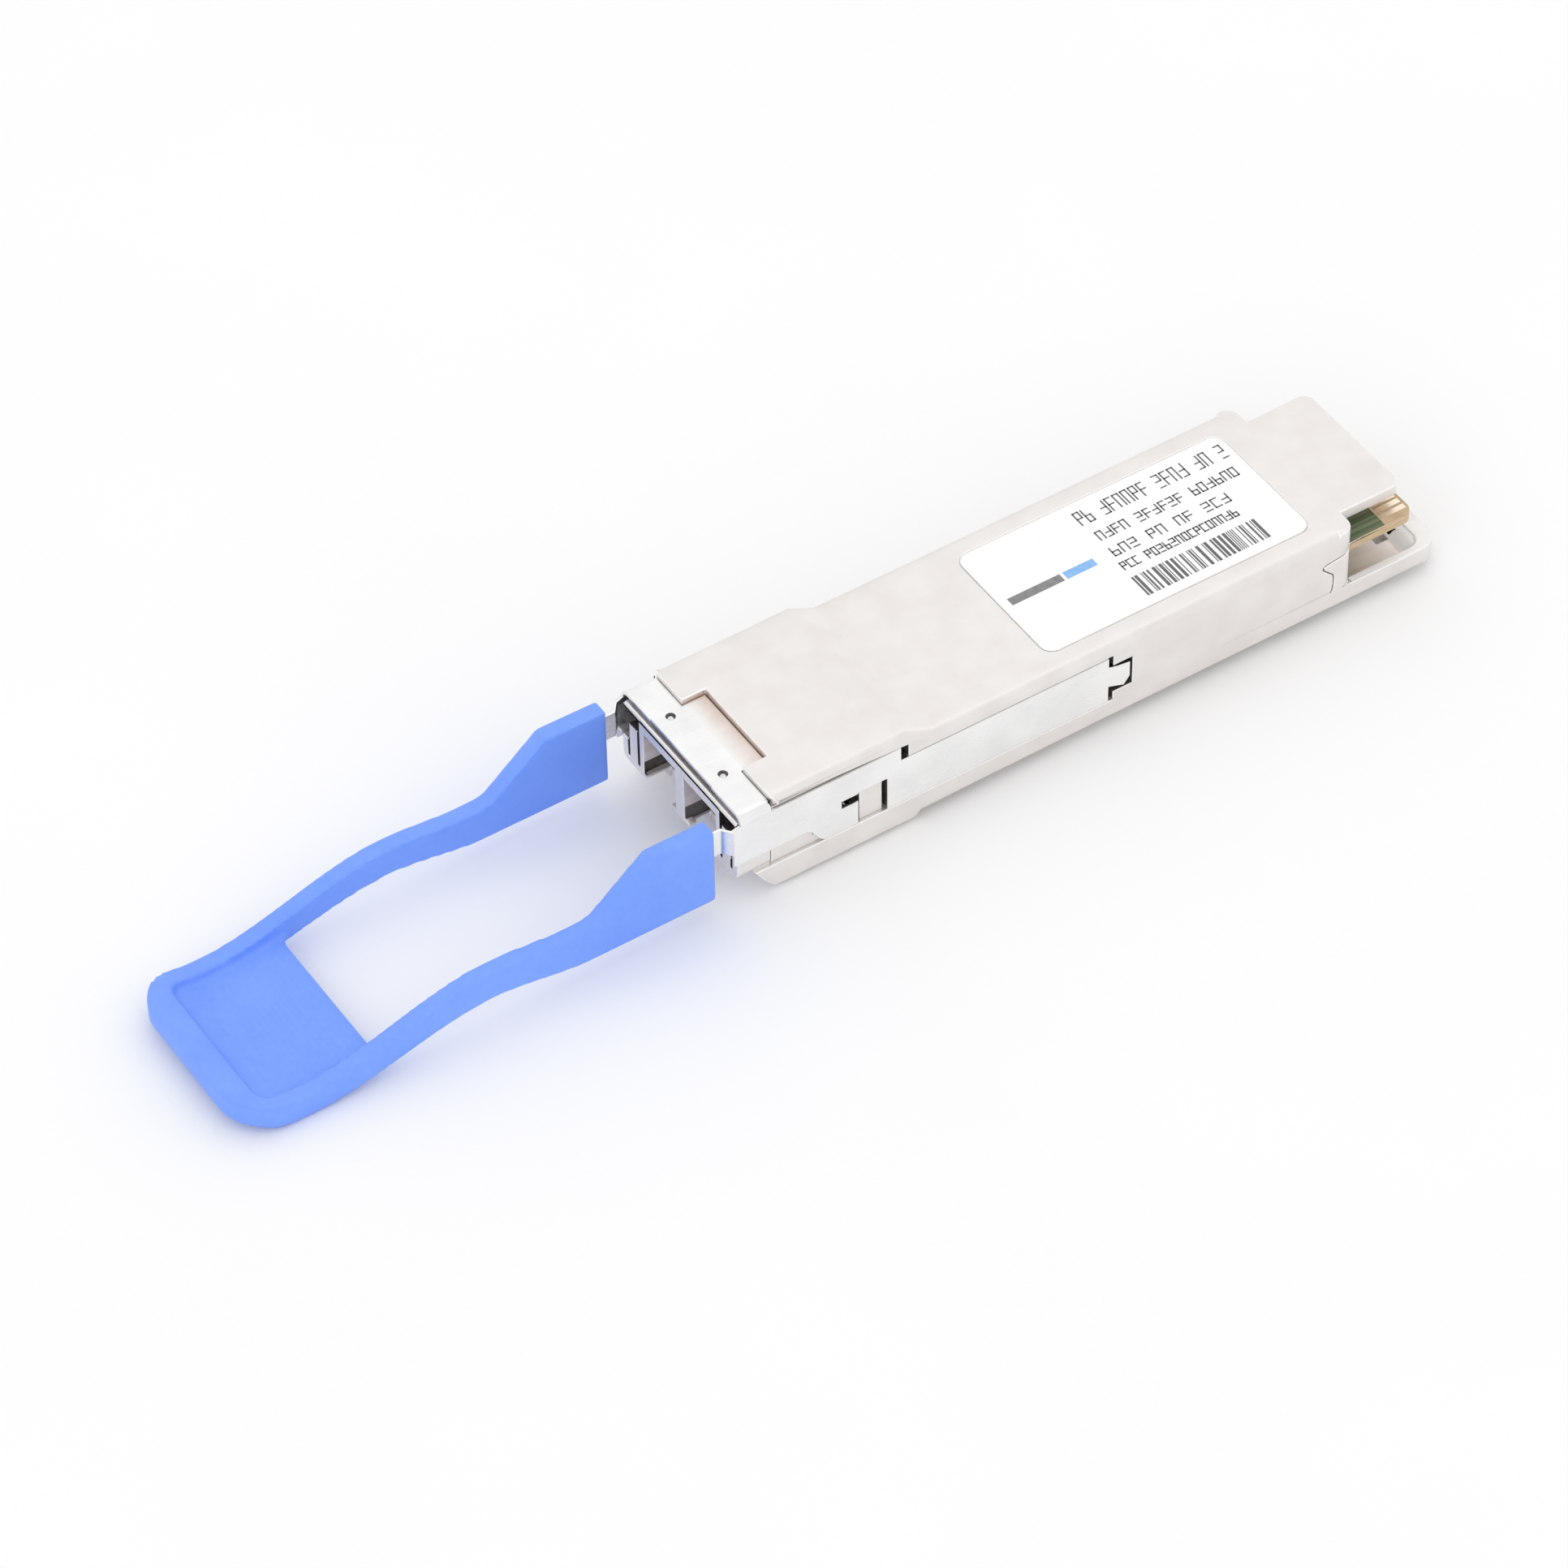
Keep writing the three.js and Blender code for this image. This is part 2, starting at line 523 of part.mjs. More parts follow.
// Shallow recesses that the slider's side plates lie in, with deep slots behind the plates' cut edges.
function armRecesses() {
  const outside = BODY.halfWidth + 1;
  const recess = polygon([
    [COVER_FRONT - 1, 0],
    [ARM_RECESS.end, 0],
    [ARM_RECESS.end, ARM_RECESS.rearTop],
    [ARM_RECESS.step, ARM_RECESS.rearTop],
    [ARM_RECESS.step, ARM_RECESS.frontTop],
    [COVER_FRONT - 1, ARM_RECESS.frontTop],
  ]);
  const deep = BODY.halfWidth - SHADOW_GROOVE.depth;
  const oneSide = joined([
    sidePrism(recess, SHELL_SIDE, outside),
    box(
      SLIDER.end, END_POCKET.end, BODY.halfWidth - END_POCKET.depth, outside,
      END_POCKET.bottom, END_TAB.top,
    ),
    box(SLIDER.end, END_SLOT.xMax, BODY.halfWidth - END_SLOT.depth, outside, 0, ARM_RECESS.rearTop + GAP),
    box(WINDOW.xMin - GAP, WINDOW.xMin - GAP + SHADOW_GROOVE.width, deep, outside, BODY.seam, RELIEF.top),
    box(WINDOW.xMax - SHADOW_GROOVE.width, WINDOW.xMax + GAP, deep, outside, BODY.seam, WINDOW.top),
    box(RELIEF.xMin - GAP, WINDOW.xMin + GAP, deep, outside, RELIEF.bottom - GAP, RELIEF.top + GAP),
    box(NOTCH.xMin, ARM_RECESS.step, deep, outside, NOTCH.bottom, ARM_RECESS.frontTop),
  ]);
  return withMirror(oneSide);
}

// Pocket in the roof, open to the front, that lets the slider's rear tongue travel.
function tonguePocket() {
  return box(
    COVER_FRONT - 1, TONGUE_POCKET.end, -TONGUE_POCKET.halfWidth, TONGUE_POCKET.halfWidth,
    TONGUE_POCKET.floor, BODY.noseTop + 1,
  );
}

function labelRecess() {
  return planPrism(roundedRectangle(
    LABEL.xMin - GAP, LABEL.xMax + GAP, -LABEL.halfWidth - GAP, LABEL.halfWidth + GAP, LABEL.corner + GAP,
  ), BODY.height - LABEL.recess, BODY.height + 1);
}

function screwBosses() {
  return joined(SCREW_PLACES.map(({ x, y }) => (
    rodAlongZ(BOSS_RADIUS, FLOOR_TOP + GAP, ROOF.rearUnderside + 0.2, x, y)
  )));
}

function screwTapHoles() {
  return joined(SCREW_PLACES.map(({ x, y }) => (
    rodAlongZ(SCREW.shankRadius + GAP, 0, SCREW.tip + GAP, x, y)
  )));
}

// ---------------------------------------------------------------- latch slider

function latchSlider() {
  return joined([collar(), withMirror(sidePlate()), withMirror(ear())]);
}

// Sheet bent over the top of the nose, with a tongue that runs back into the roof's pocket.
function collar() {
  const outer = BODY.halfWidth;
  const inner = BODY.halfWidth - SHEET;
  const top = SLIDER.collarTop;
  const radius = SLIDER.bendRadius;
  const innerRadius = radius - SHEET;
  const skirt = top - radius - 0.5;
  const section = new THREE.Shape();
  section.moveTo(outer, skirt);
  section.lineTo(outer, top - radius);
  section.absarc(outer - radius, top - radius, radius, 0, Math.PI / 2);
  section.lineTo(radius - outer, top);
  section.absarc(radius - outer, top - radius, radius, Math.PI / 2, Math.PI);
  section.lineTo(-outer, skirt);
  section.lineTo(-inner, skirt);
  section.lineTo(-inner, top - radius);
  section.absarc(radius - outer, top - radius, innerRadius, Math.PI, Math.PI / 2, true);
  section.lineTo(outer - radius, top - SHEET);
  section.absarc(outer - radius, top - radius, innerRadius, Math.PI / 2, 0, true);
  section.lineTo(inner, skirt);
  const band = endPrism(section, 0, NOSE.depth, 6);
  const tongue = box(
    NOSE.depth - 0.2, SLIDER.tongueEnd, -SLIDER.tongueHalfWidth, SLIDER.tongueHalfWidth, top - SHEET, top,
  );
  const dimples = [SLIDER.dimpleY, -SLIDER.dimpleY].map((y) => (
    rodAlongZ(SLIDER.dimpleRadius, top - 1, top + 1, SLIDER.dimpleX, y, 16)
  ));
  const frontCut = box(-1, SLIDER.cutBack, -SLIDER.cutHalfWidth, SLIDER.cutHalfWidth, top - 1, top + 1);
  return cutBy(band.add(tongue), [...dimples, frontCut]);
}

// Left side plate: it runs back as an arm to the tab that spreads the cage's latch spring.
function sidePlate() {
  const front = SLIDER.plateFront;
  const outline = new THREE.Shape();
  outline.moveTo(front, SLIDER.frontBottom);
  outline.lineTo(SLIDER.dropStart, SLIDER.frontBottom);
  easeTo(outline, SLIDER.dropStart, SLIDER.frontBottom, SLIDER.dropEnd, SLIDER.bottom);
  outline.lineTo(WINDOW.xMin, SLIDER.bottom);
  outline.lineTo(WINDOW.xMin, RELIEF.bottom);
  outline.lineTo(RELIEF.xMin, RELIEF.bottom);
  outline.lineTo(RELIEF.xMin, RELIEF.top);
  outline.lineTo(WINDOW.xMin, RELIEF.top);
  outline.lineTo(WINDOW.xMin, WINDOW.top);
  outline.lineTo(WINDOW.xMax, WINDOW.top);
  outline.lineTo(WINDOW.xMax, SLIDER.bottom);
  outline.lineTo(SLIDER.end, SLIDER.bottom);
  outline.lineTo(SLIDER.end, END_TAB.bottom);
  outline.lineTo(END_TAB.heelX, END_TAB.heel);
  outline.lineTo(END_TAB.end, END_TAB.endBottom);
  outline.lineTo(END_TAB.end, END_TAB.endTop);
  outline.lineTo(END_TAB.bendX, END_TAB.bendTop);
  outline.lineTo(SLIDER.end, END_TAB.top);
  outline.lineTo(SLIDER.end, ARM_RECESS.rearTop - GAP);
  outline.lineTo(ARM_RECESS.step, ARM_RECESS.rearTop - GAP);
  outline.lineTo(ARM_RECESS.step, NOTCH.bottom);
  outline.lineTo(NOTCH.xMin, NOTCH.bottom);
  outline.lineTo(NOTCH.xMin, ARM_RECESS.frontTop - GAP / 2);
  outline.lineTo(NOSE.depth, ARM_RECESS.frontTop - GAP / 2);
  outline.lineTo(NOSE.depth, SLIDER.collarTop - SLIDER.bendRadius);
  outline.lineTo(0, SLIDER.collarTop - SLIDER.bendRadius);
  outline.lineTo(front, EAR.top);
  const plate = sidePrism(outline, BODY.halfWidth - SHEET, BODY.halfWidth, 4);
  const springFlange = box(
    WINDOW.xMin - SHEET, WINDOW.xMin, SPRING_POCKET.yMin + 0.15, BODY.halfWidth - SHEET / 2,
    SPRING_POCKET.zMin + 0.15, RELIEF.bottom - 0.1,
  );
  return plate.add(springFlange);
}

// Left ear: in front of the nose the plate jogs inwards, and a tang runs forward into the pull tab.
function ear() {
  const innerFace = BODY.halfWidth - SHEET;
  const innerBend = SHEET / 3; // the sheet's inner face bends this far behind its outer face
  const plan = polygon([
    [EAR.tangEnd, EAR.outerY - SHEET],
    [EAR.jogFront + innerBend, EAR.outerY - SHEET],
    [SLIDER.plateFront + innerBend, innerFace],
    [SLIDER.plateFront, BODY.halfWidth],
    [EAR.jogFront, EAR.outerY],
    [EAR.tangEnd, EAR.outerY],
  ]);
  return planPrism(plan, EAR.bottom, EAR.top);
}

// ---------------------------------------------------------------- pull tab

function armHeights(outline) {
  const top = ARM_TOP;
  const bottom = ARM_BOTTOM;
  outline.moveTo(TAB.rear, bottom.rear);
  outline.lineTo(TAB.rear, top.rear);
  outline.lineTo(top.shoulderX, top.shoulder);
  outline.lineTo(top.slopeEndX, top.slopeEnd);
  outline.quadraticCurveTo(top.slopeEndX - 0.7, top.dip, top.dipX, top.dip);
  easeTo(outline, top.dipX, top.dip, top.crestX, top.crest);
  easeTo(outline, top.crestX, top.crest, top.troughX, top.trough);
  outline.bezierCurveTo(
    top.troughX - 3, top.trough, TAB.tip + TAB.tipRound + 1.5, top.tip - 0.2, TAB.tip + TAB.tipRound, top.tip,
  );
  outline.quadraticCurveTo(TAB.tip, top.tip, TAB.tip, top.tip - TAB.tipRound);
  outline.lineTo(TAB.tip, bottom.tip + TAB.tipRound);
  outline.quadraticCurveTo(TAB.tip, bottom.tip, TAB.tip + TAB.tipRound, bottom.tip);
  outline.bezierCurveTo(
    TAB.tip + TAB.tipRound + 1.5, bottom.tip - 0.2, bottom.troughX - 3, bottom.trough,
    bottom.troughX, bottom.trough,
  );
  easeTo(outline, bottom.troughX, bottom.trough, bottom.crestX, bottom.crest);
  easeTo(outline, bottom.crestX, bottom.crest, bottom.riseX, bottom.rear);
  return outline;
}

// The recess above or below the thin web of the finger end. side is +1 above and -1 below.
function webRecess(side) {
  const half = (TAB.webThickness / 2) * side;
  const frontZ = (ARM_TOP.tip + ARM_BOTTOM.tip) / 2 - 0.35 + half;
  const troughZ = (ARM_TOP.trough + ARM_BOTTOM.trough) / 2 + half;
  const rearZ = troughZ + 1.05;
  const beyondReach = 8;
  const beyond = troughZ + beyondReach * side;
  const outline = new THREE.Shape();
  outline.moveTo(TAB.webFront, beyond);
  outline.lineTo(TAB.webFront, frontZ);
  outline.quadraticCurveTo(TAB.webFront + 1.5, troughZ, ARM_TOP.troughX + 0.5, troughZ);
  outline.quadraticCurveTo(ARM_TOP.troughX + 3.5, troughZ, TAB.webRear + 1, rearZ);
  outline.lineTo(TAB.webRear + 1, beyond);
  const inner = TAB.halfWidth - TAB.wall;
  const plan = planPrism(
    roundedRectangle(TAB.webFront, TAB.rear, -inner, inner, TAB.recessCorner),
    ARM_BOTTOM.trough - beyondReach, ARM_TOP.shoulder + beyondReach,
  );
  return sidePrism(outline, -inner, inner, 6).intersect(plan);
}

function pullTab() {
  const strip = sidePrism(armHeights(new THREE.Shape()), -TAB.halfWidth, TAB.halfWidth, 10);
  const plan = planPrism(
    roundedRectangle(TAB.tip, TAB.rear + 20, -TAB.halfWidth, TAB.halfWidth, TAB.cornerRadius),
    ARM_BOTTOM.trough - 1, ARM_TOP.shoulder + 1,
  );
  const inner = TAB.halfWidth - TAB.wall;
  const fingerOpening = planPrism(
    roundedRectangle(TAB.webRear, TAB.rear + 20, -inner, inner, TAB.webCorner),
    ARM_BOTTOM.trough - 1, ARM_TOP.shoulder + 1,
  );
  const earSlots = pairOfBoxes(
    EAR.tangEnd - GAP, 0, EAR.outerY - SHEET - GAP, EAR.outerY + GAP, EAR.bottom - GAP, EAR.top + GAP,
  );
  return cutBy(strip.intersect(plan), [fingerOpening, webRecess(1), webRecess(-1), earSlots]);
}

// ---------------------------------------------------------------- return springs

class Helix extends THREE.Curve {
  constructor(radius, turns, xMin, xMax, y, z) {
    super();
    Object.assign(this, { radius, turns, xMin, xMax, y, z });
  }

  getPoint(t, target = new THREE.Vector3()) {
    const angle = 2 * Math.PI * this.turns * t;
    return target.set(
      this.xMin + (this.xMax - this.xMin) * t,
      this.y + this.radius * Math.cos(angle),
      this.z + this.radius * Math.sin(angle),
    );
  }
}

function returnSpring(sign) {
  const wire = new THREE.Shape();
  wire.absarc(0, 0, SPRING.wire, 0, 2 * Math.PI);
  const path = new Helix(
    SPRING.radius - SPRING.wire, SPRING.turns,
    SPRING.xMin + SPRING.wire, SPRING.xMax - SPRING.wire, sign * SPRING.y, SPRING.z,
  );
  return solid(new THREE.ExtrudeGeometry(wire, {
    steps: SPRING.turns * 12, curveSegments: 6, extrudePath: path, bevelEnabled: false,
  }));
}

// ---------------------------------------------------------------- optical parts

function fibreReceptacle() {
  const block = box(
    RECEPTACLE.front, RECEPTACLE.rear, -RECEPTACLE.halfWidth, RECEPTACLE.halfWidth,
    RECEPTACLE.bottom, RECEPTACLE.top,
  );
  const centre = (PORT.floor + PORT.ceiling) / 2;
  const cavities = PORT_CENTRES.map((y) => joined([
    box(0, RECEPTACLE.wallFront, y - PORT.width / 2, y + PORT.width / 2, PORT.floor, PORT.ceiling),
    box(0, RECEPTACLE.wallFront - 3, y - 1, y + 1, PORT.ceiling - 0.1, PORT.ceiling + 0.6),
    rodAlongX(SLEEVE.outer + GAP, RECEPTACLE.wallFront - 1, RECEPTACLE.rear + 1, y, centre),
  ]));
  return cutBy(block, cavities);
}

function ferruleSleeve(y) {
  return turned([
    [SLEEVE.bore, SLEEVE.front],
    [SLEEVE.outer, SLEEVE.front],
    [SLEEVE.outer, SLEEVE.rear],
    [SLEEVE.bore, SLEEVE.rear],
    [SLEEVE.bore, SLEEVE.front],
  ], y, (PORT.floor + PORT.ceiling) / 2);
}

function receptacleClamp() {
  const centre = (PORT.floor + PORT.ceiling) / 2;
  const plate = box(CLAMP.front, CLAMP.rear, -CLAMP.halfWidth, CLAMP.halfWidth, CLAMP.bottom, CLAMP.top);
  const holes = PORT_CENTRES.map((y) => (
    rodAlongX(OPTICS.barrelRadius + GAP, CLAMP.front - 1, CLAMP.rear + 1, y, centre)
  ));
  return cutBy(plate, holes);
}

// Transmitter or receiver: a round barrel that meets the ferrule sleeve, and a square can behind it.
function opticalSubassembly(y) {
  const centre = (PORT.floor + PORT.ceiling) / 2;
  const barrel = rodAlongX(OPTICS.barrelRadius, OPTICS.barrelFront, OPTICS.canFront + 0.5, y, centre);
  const can = box(
    OPTICS.canFront, OPTICS.rear, y - OPTICS.width / 2, y + OPTICS.width / 2, OPTICS.bottom, OPTICS.top,
  );
  return barrel.add(can);
}

// Flexible circuit from the back of a can, stepping up on to the board's top face.
function flexCircuit(y) {
  const start = OPTICS.rear + GAP;
  const low = FLEX.exitZ;
  const high = BOARD.top + GAP;
  const t = FLEX.thickness;
  return sidePrism(polygon([
    [start, low],
    [FLEX.bend, low],
    [FLEX.bend + t, high],
    [FLEX.rear, high],
    [FLEX.rear, high + t],
    [FLEX.bend, high + t],
    [FLEX.bend - t, low + t],
    [start, low + t],
  ]), y - FLEX.width / 2, y + FLEX.width / 2);
}

// ---------------------------------------------------------------- board and its parts

function mainBoard() {
  const front = box(
    BOARD.front, BOARD.rear - BOARD.corner, -BOARD.frontHalfWidth, BOARD.frontHalfWidth,
    BOARD.bottom, BOARD.top,
  );
  const rear = planPrism(roundedRectangle(
    BOARD.widens, BOARD.rear, -BOARD.rearHalfWidth, BOARD.rearHalfWidth, BOARD.corner,
  ), BOARD.bottom, BOARD.top);
  const card = front.add(rear);
  const bossHoles = SCREW_PLACES.map(({ x, y }) => (
    rodAlongZ(BOARD_CLEARANCE_RADIUS, BOARD.bottom - 1, BOARD.top + 1, x, y)
  ));
  return cutBy(card, bossHoles);
}

// One row of plated contacts, drawn as a comb with the plating bar that joins them.
function contactRow(zMin) {
  const reach = (CONTACT.pitch * (CONTACT.count - 1) + CONTACT.width) / 2 + CONTACT.bar;
  const barFront = CONTACT.front - CONTACT.bar;
  const comb = [[barFront, reach], [barFront, -reach], [CONTACT.front, -reach]];
  for (let i = 0; i < CONTACT.count; i += 1) {
    const y = (i - (CONTACT.count - 1) / 2) * CONTACT.pitch;
    const right = y - CONTACT.width / 2;
    const left = y + CONTACT.width / 2;
    comb.push([CONTACT.front, right], [CONTACT.rear, right], [CONTACT.rear, left], [CONTACT.front, left]);
  }
  comb.push([CONTACT.front, reach]);
  return planPrism(polygon(comb), zMin, zMin + CONTACT.thickness);
}

function chipOnTop({ x, length, width, height }, y) {
  const base = BOARD.top + GAP;
  return box(x - length / 2, x + length / 2, y - width / 2, y + width / 2, base, base + height);
}

function chipUnderneath({ x, length, width, height }, y) {
  const base = BOARD.bottom - GAP;
  return box(x - length / 2, x + length / 2, y - width / 2, y + width / 2, base - height, base);
}

function processorPad() {
  const { x, length, width, height } = PROCESSOR;
  const inset = 0.5;
  return box(
    x - length / 2 + inset, x + length / 2 - inset, inset - width / 2, width / 2 - inset,
    BOARD.top + 2 * GAP + height, ROOF.rearUnderside - GAP,
  );
}

function opticsPad() {
  const reach = PORT.pitch / 2 + OPTICS.width / 2 - OPTICS_PAD.inset;
  return box(
    OPTICS.rear - OPTICS_PAD.length, OPTICS.rear - OPTICS_PAD.inset, -reach, reach,
    OPTICS.top + GAP, ROOF.rearUnderside - GAP,
  );
}

// ---------------------------------------------------------------- small parts

// The label lies in its recess, a little below the cover's face.
function label() {
  const base = BODY.height - LABEL.recess;
  return planPrism(
    roundedRectangle(LABEL.xMin, LABEL.xMax, -LABEL.halfWidth, LABEL.halfWidth, LABEL.corner),
    base, base + LABEL.thickness,
  );
}

function seamGasket(sign) {
  const ys = [sign * GASKET.yMin, sign * GASKET.yMax].sort((a, b) => a - b);
  return box(GASKET.xMin, GASKET.xMax, ys[0], ys[1], BODY.seam - GASKET.depth, BODY.seam - GAP);
}

function housingScrew(x, y) {
  const flush = 0.05; // the head sits just above the underside
  const head = rodAlongZ(SCREW.headRadius, flush, SCREW.headHeight, x, y);
  const shank = rodAlongZ(SCREW.shankRadius, SCREW.headHeight - 0.1, SCREW.tip, x, y);
  const socket = rodAlongZ(SCREW.socketRadius, -1, flush + SCREW.socketDepth, x, y, 6);
  return head.add(shank).subtract(socket);
}

// ---------------------------------------------------------------- assembly

function mesh(name, material, piece) {
  const data = piece.simplify(MESH_TOLERANCE).getMesh();
  const geometry = new THREE.BufferGeometry();
  geometry.setAttribute('position', new THREE.BufferAttribute(data.vertProperties, 3));
  geometry.setIndex(new THREE.BufferAttribute(data.triVerts, 1));
  geometry.computeVertexNormals();
  const made = new THREE.Mesh(geometry, new THREE.MeshStandardMaterial(MATERIALS[material]));
  made.name = name;
  return made;
}

const housing = new THREE.Group();
housing.add(
  mesh('lower_shell', 'dieCast', lowerShell()),
  mesh('upper_shell', 'dieCast', upperShell()),
  mesh('label', 'labelFilm', label()),
  ...SIDES.map(({ name, sign }) => mesh(`${name}_seam_gasket`, 'gasketGrey', seamGasket(sign))),
  ...SCREW_PLACES.map(({ name, x, y }) => mesh(name, 'springSteel', housingScrew(x, y))),
);

const latch = new THREE.Group();
latch.add(
  mesh('latch_slider', 'stainless', latchSlider()),
  mesh('pull_tab', 'bluePlastic', pullTab()),
  ...SIDES.map(({ name, sign }) => mesh(`${name}_return_spring`, 'springSteel', returnSpring(sign))),
);

const [transmitY, receiveY] = PORT_CENTRES;
const optics = new THREE.Group();
optics.add(
  mesh('fibre_receptacle', 'blackPlastic', fibreReceptacle()),
  mesh('receptacle_clamp', 'stainless', receptacleClamp()),
  mesh('left_ferrule_sleeve', 'ceramic', ferruleSleeve(transmitY)),
  mesh('right_ferrule_sleeve', 'ceramic', ferruleSleeve(receiveY)),
  mesh('transmitter_subassembly', 'goldPlate', opticalSubassembly(transmitY)),
  mesh('receiver_subassembly', 'goldPlate', opticalSubassembly(receiveY)),
  mesh('transmitter_flex', 'flexAmber', flexCircuit(transmitY)),
  mesh('receiver_flex', 'flexAmber', flexCircuit(receiveY)),
  mesh('optics_thermal_pad', 'padGrey', opticsPad()),
);

const electronics = new THREE.Group();
electronics.add(
  mesh('main_board', 'boardGreen', mainBoard()),
  mesh('top_contacts', 'goldPlate', contactRow(BOARD.top)),
  mesh('bottom_contacts', 'goldPlate', contactRow(BOARD.bottom - CONTACT.thickness)),
  mesh('signal_processor', 'chipBlack', chipOnTop(PROCESSOR, 0)),
  mesh('processor_thermal_pad', 'padGrey', processorPad()),
  mesh('laser_driver', 'chipBlack', chipOnTop(LASER_DRIVER, transmitY)),
  mesh('receiver_amplifier', 'chipBlack', chipOnTop(RECEIVER_AMPLIFIER, receiveY)),
  mesh('power_inductor', 'chipBlack', chipOnTop(INDUCTOR, INDUCTOR.y)),
  mesh('microcontroller', 'chipBlack', chipUnderneath(MICROCONTROLLER, 0)),
);

const assembly = new THREE.Group();
assembly.add(housing, latch, optics, electronics);
assembly.position.set(-(TAB.tip + BODY.length) / 2, 0, -ARM_BOTTOM.trough);

export default assembly;
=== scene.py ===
"""Visual model of a pluggable optical transceiver module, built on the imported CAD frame.

Every piece but the label's printing starts from a CAD solid of the same place and size. Sharp edges
are rounded to small radii chosen for their look, fine detail is added, and each surface gets a
procedural material. Some materials are darker or paler than the plain casting, to stand in for the
shade and light of places too small for the lighting alone to show well. Lengths are written in
millimetres and turned into metres with MM. +X runs from the pull tab to the card edge and +Z points
up through the face with the label.
"""

import math
import random

import bmesh
import bpy
from mathutils import Matrix, Vector


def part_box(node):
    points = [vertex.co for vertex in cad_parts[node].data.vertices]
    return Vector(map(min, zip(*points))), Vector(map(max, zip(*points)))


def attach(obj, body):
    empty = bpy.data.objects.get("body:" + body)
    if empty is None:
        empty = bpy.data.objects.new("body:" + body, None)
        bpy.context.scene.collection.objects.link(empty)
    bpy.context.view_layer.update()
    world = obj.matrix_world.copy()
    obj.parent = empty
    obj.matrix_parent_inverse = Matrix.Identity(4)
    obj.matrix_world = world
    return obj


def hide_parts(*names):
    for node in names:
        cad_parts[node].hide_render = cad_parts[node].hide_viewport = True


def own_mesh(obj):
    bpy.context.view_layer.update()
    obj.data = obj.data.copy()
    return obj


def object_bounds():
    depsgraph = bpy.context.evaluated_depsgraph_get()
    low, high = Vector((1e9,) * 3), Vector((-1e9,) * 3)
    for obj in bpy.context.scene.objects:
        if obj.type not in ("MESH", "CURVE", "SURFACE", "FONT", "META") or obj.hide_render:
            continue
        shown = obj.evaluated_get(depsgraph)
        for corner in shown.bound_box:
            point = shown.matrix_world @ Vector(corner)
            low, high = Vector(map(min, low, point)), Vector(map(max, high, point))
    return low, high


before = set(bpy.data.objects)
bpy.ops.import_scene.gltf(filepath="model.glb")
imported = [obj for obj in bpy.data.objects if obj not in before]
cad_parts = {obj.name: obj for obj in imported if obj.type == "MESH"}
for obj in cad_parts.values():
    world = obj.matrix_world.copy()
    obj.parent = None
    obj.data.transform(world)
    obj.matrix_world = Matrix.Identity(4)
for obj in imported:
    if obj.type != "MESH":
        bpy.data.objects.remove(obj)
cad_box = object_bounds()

MM = 0.001
PER_MM = 1000.0

# ------------------------------------------------------------------ camera, floor and light

VIEW_AZIMUTH = math.radians(-32.6)
VIEW_ELEVATION = math.radians(46.3)
VIEW_ROLL = math.radians(-1.0)
VIEW_DISTANCE = 590.4 * MM
VIEW_AIM_FROM_CENTRE = Vector((-1.8, 0.3, -5.1)) * MM
LENS = 160.5  # millimetres
SENSOR_WIDTH = 36.0  # millimetres
NEAREST_SEEN = 0.01  # metres from the camera
FARTHEST_SEEN = 20.0

FLOOR_SIZE = 6.0  # metres
FLOOR_DROP = 0.02 * MM
WORLD_STRENGTH = 0.97
WORLD_COLOUR = (1.0, 1.0, 1.0, 1.0)
# Soft lights, aimed at the part: name, place, width and height in metres, and power in watts.
AREA_LIGHTS = (
    ("key", (0.25, 0.15, 0.75), (0.5, 0.5), 0.35),
    ("front_fill", (-0.7, -0.55, 0.35), (0.6, 0.5), 0.5),
)


def place_camera():
    camera_data = bpy.data.cameras.new("camera")
    camera_data.lens = LENS
    camera_data.sensor_width = SENSOR_WIDTH
    camera_data.clip_start = NEAREST_SEEN
    camera_data.clip_end = FARTHEST_SEEN
    camera = bpy.data.objects.new("camera", camera_data)
    bpy.context.scene.collection.objects.link(camera)
    right = Vector((math.cos(VIEW_AZIMUTH), math.sin(VIEW_AZIMUTH), 0.0))
    back = Vector((
        math.sin(VIEW_AZIMUTH) * math.cos(VIEW_ELEVATION),
        -math.cos(VIEW_AZIMUTH) * math.cos(VIEW_ELEVATION),
        math.sin(VIEW_ELEVATION),
    ))
    up = back.cross(right)
    turned_right = right * math.cos(VIEW_ROLL) + up * math.sin(VIEW_ROLL)
    turned_up = up * math.cos(VIEW_ROLL) - right * math.sin(VIEW_ROLL)
    low, high = cad_box
    aim = (Vector(low) + Vector(high)) / 2 + VIEW_AIM_FROM_CENTRE
    turn = Matrix((turned_right, turned_up, back)).transposed()
    camera.matrix_world = Matrix.Translation(aim + back * VIEW_DISTANCE) @ turn.to_4x4()
    bpy.context.scene.camera = camera


def area_light(name, place, size, power):
    light_data = bpy.data.lights.new(name, "AREA")
    light_data.shape = "RECTANGLE"
    light_data.size, light_data.size_y = size
    light_data.energy = power
    light = bpy.data.objects.new(name, light_data)
    light.location = place
    towards_part = Vector((0.0, 0.0, 0.0)) - Vector(place)
    light.rotation_euler = towards_part.to_track_quat("-Z", "Y").to_euler()
    bpy.context.scene.collection.objects.link(light)


def light_scene():
    world = bpy.data.worlds.new("soft_room")
    world.use_nodes = True
    sky = world.node_tree.nodes["Background"]
    sky.inputs["Color"].default_value = WORLD_COLOUR
    sky.inputs["Strength"].default_value = WORLD_STRENGTH
    bpy.context.scene.world = world
    for name, place, size, power in AREA_LIGHTS:
        area_light(name, place, size, power)
    bpy.context.scene.view_settings.view_transform = "Standard"


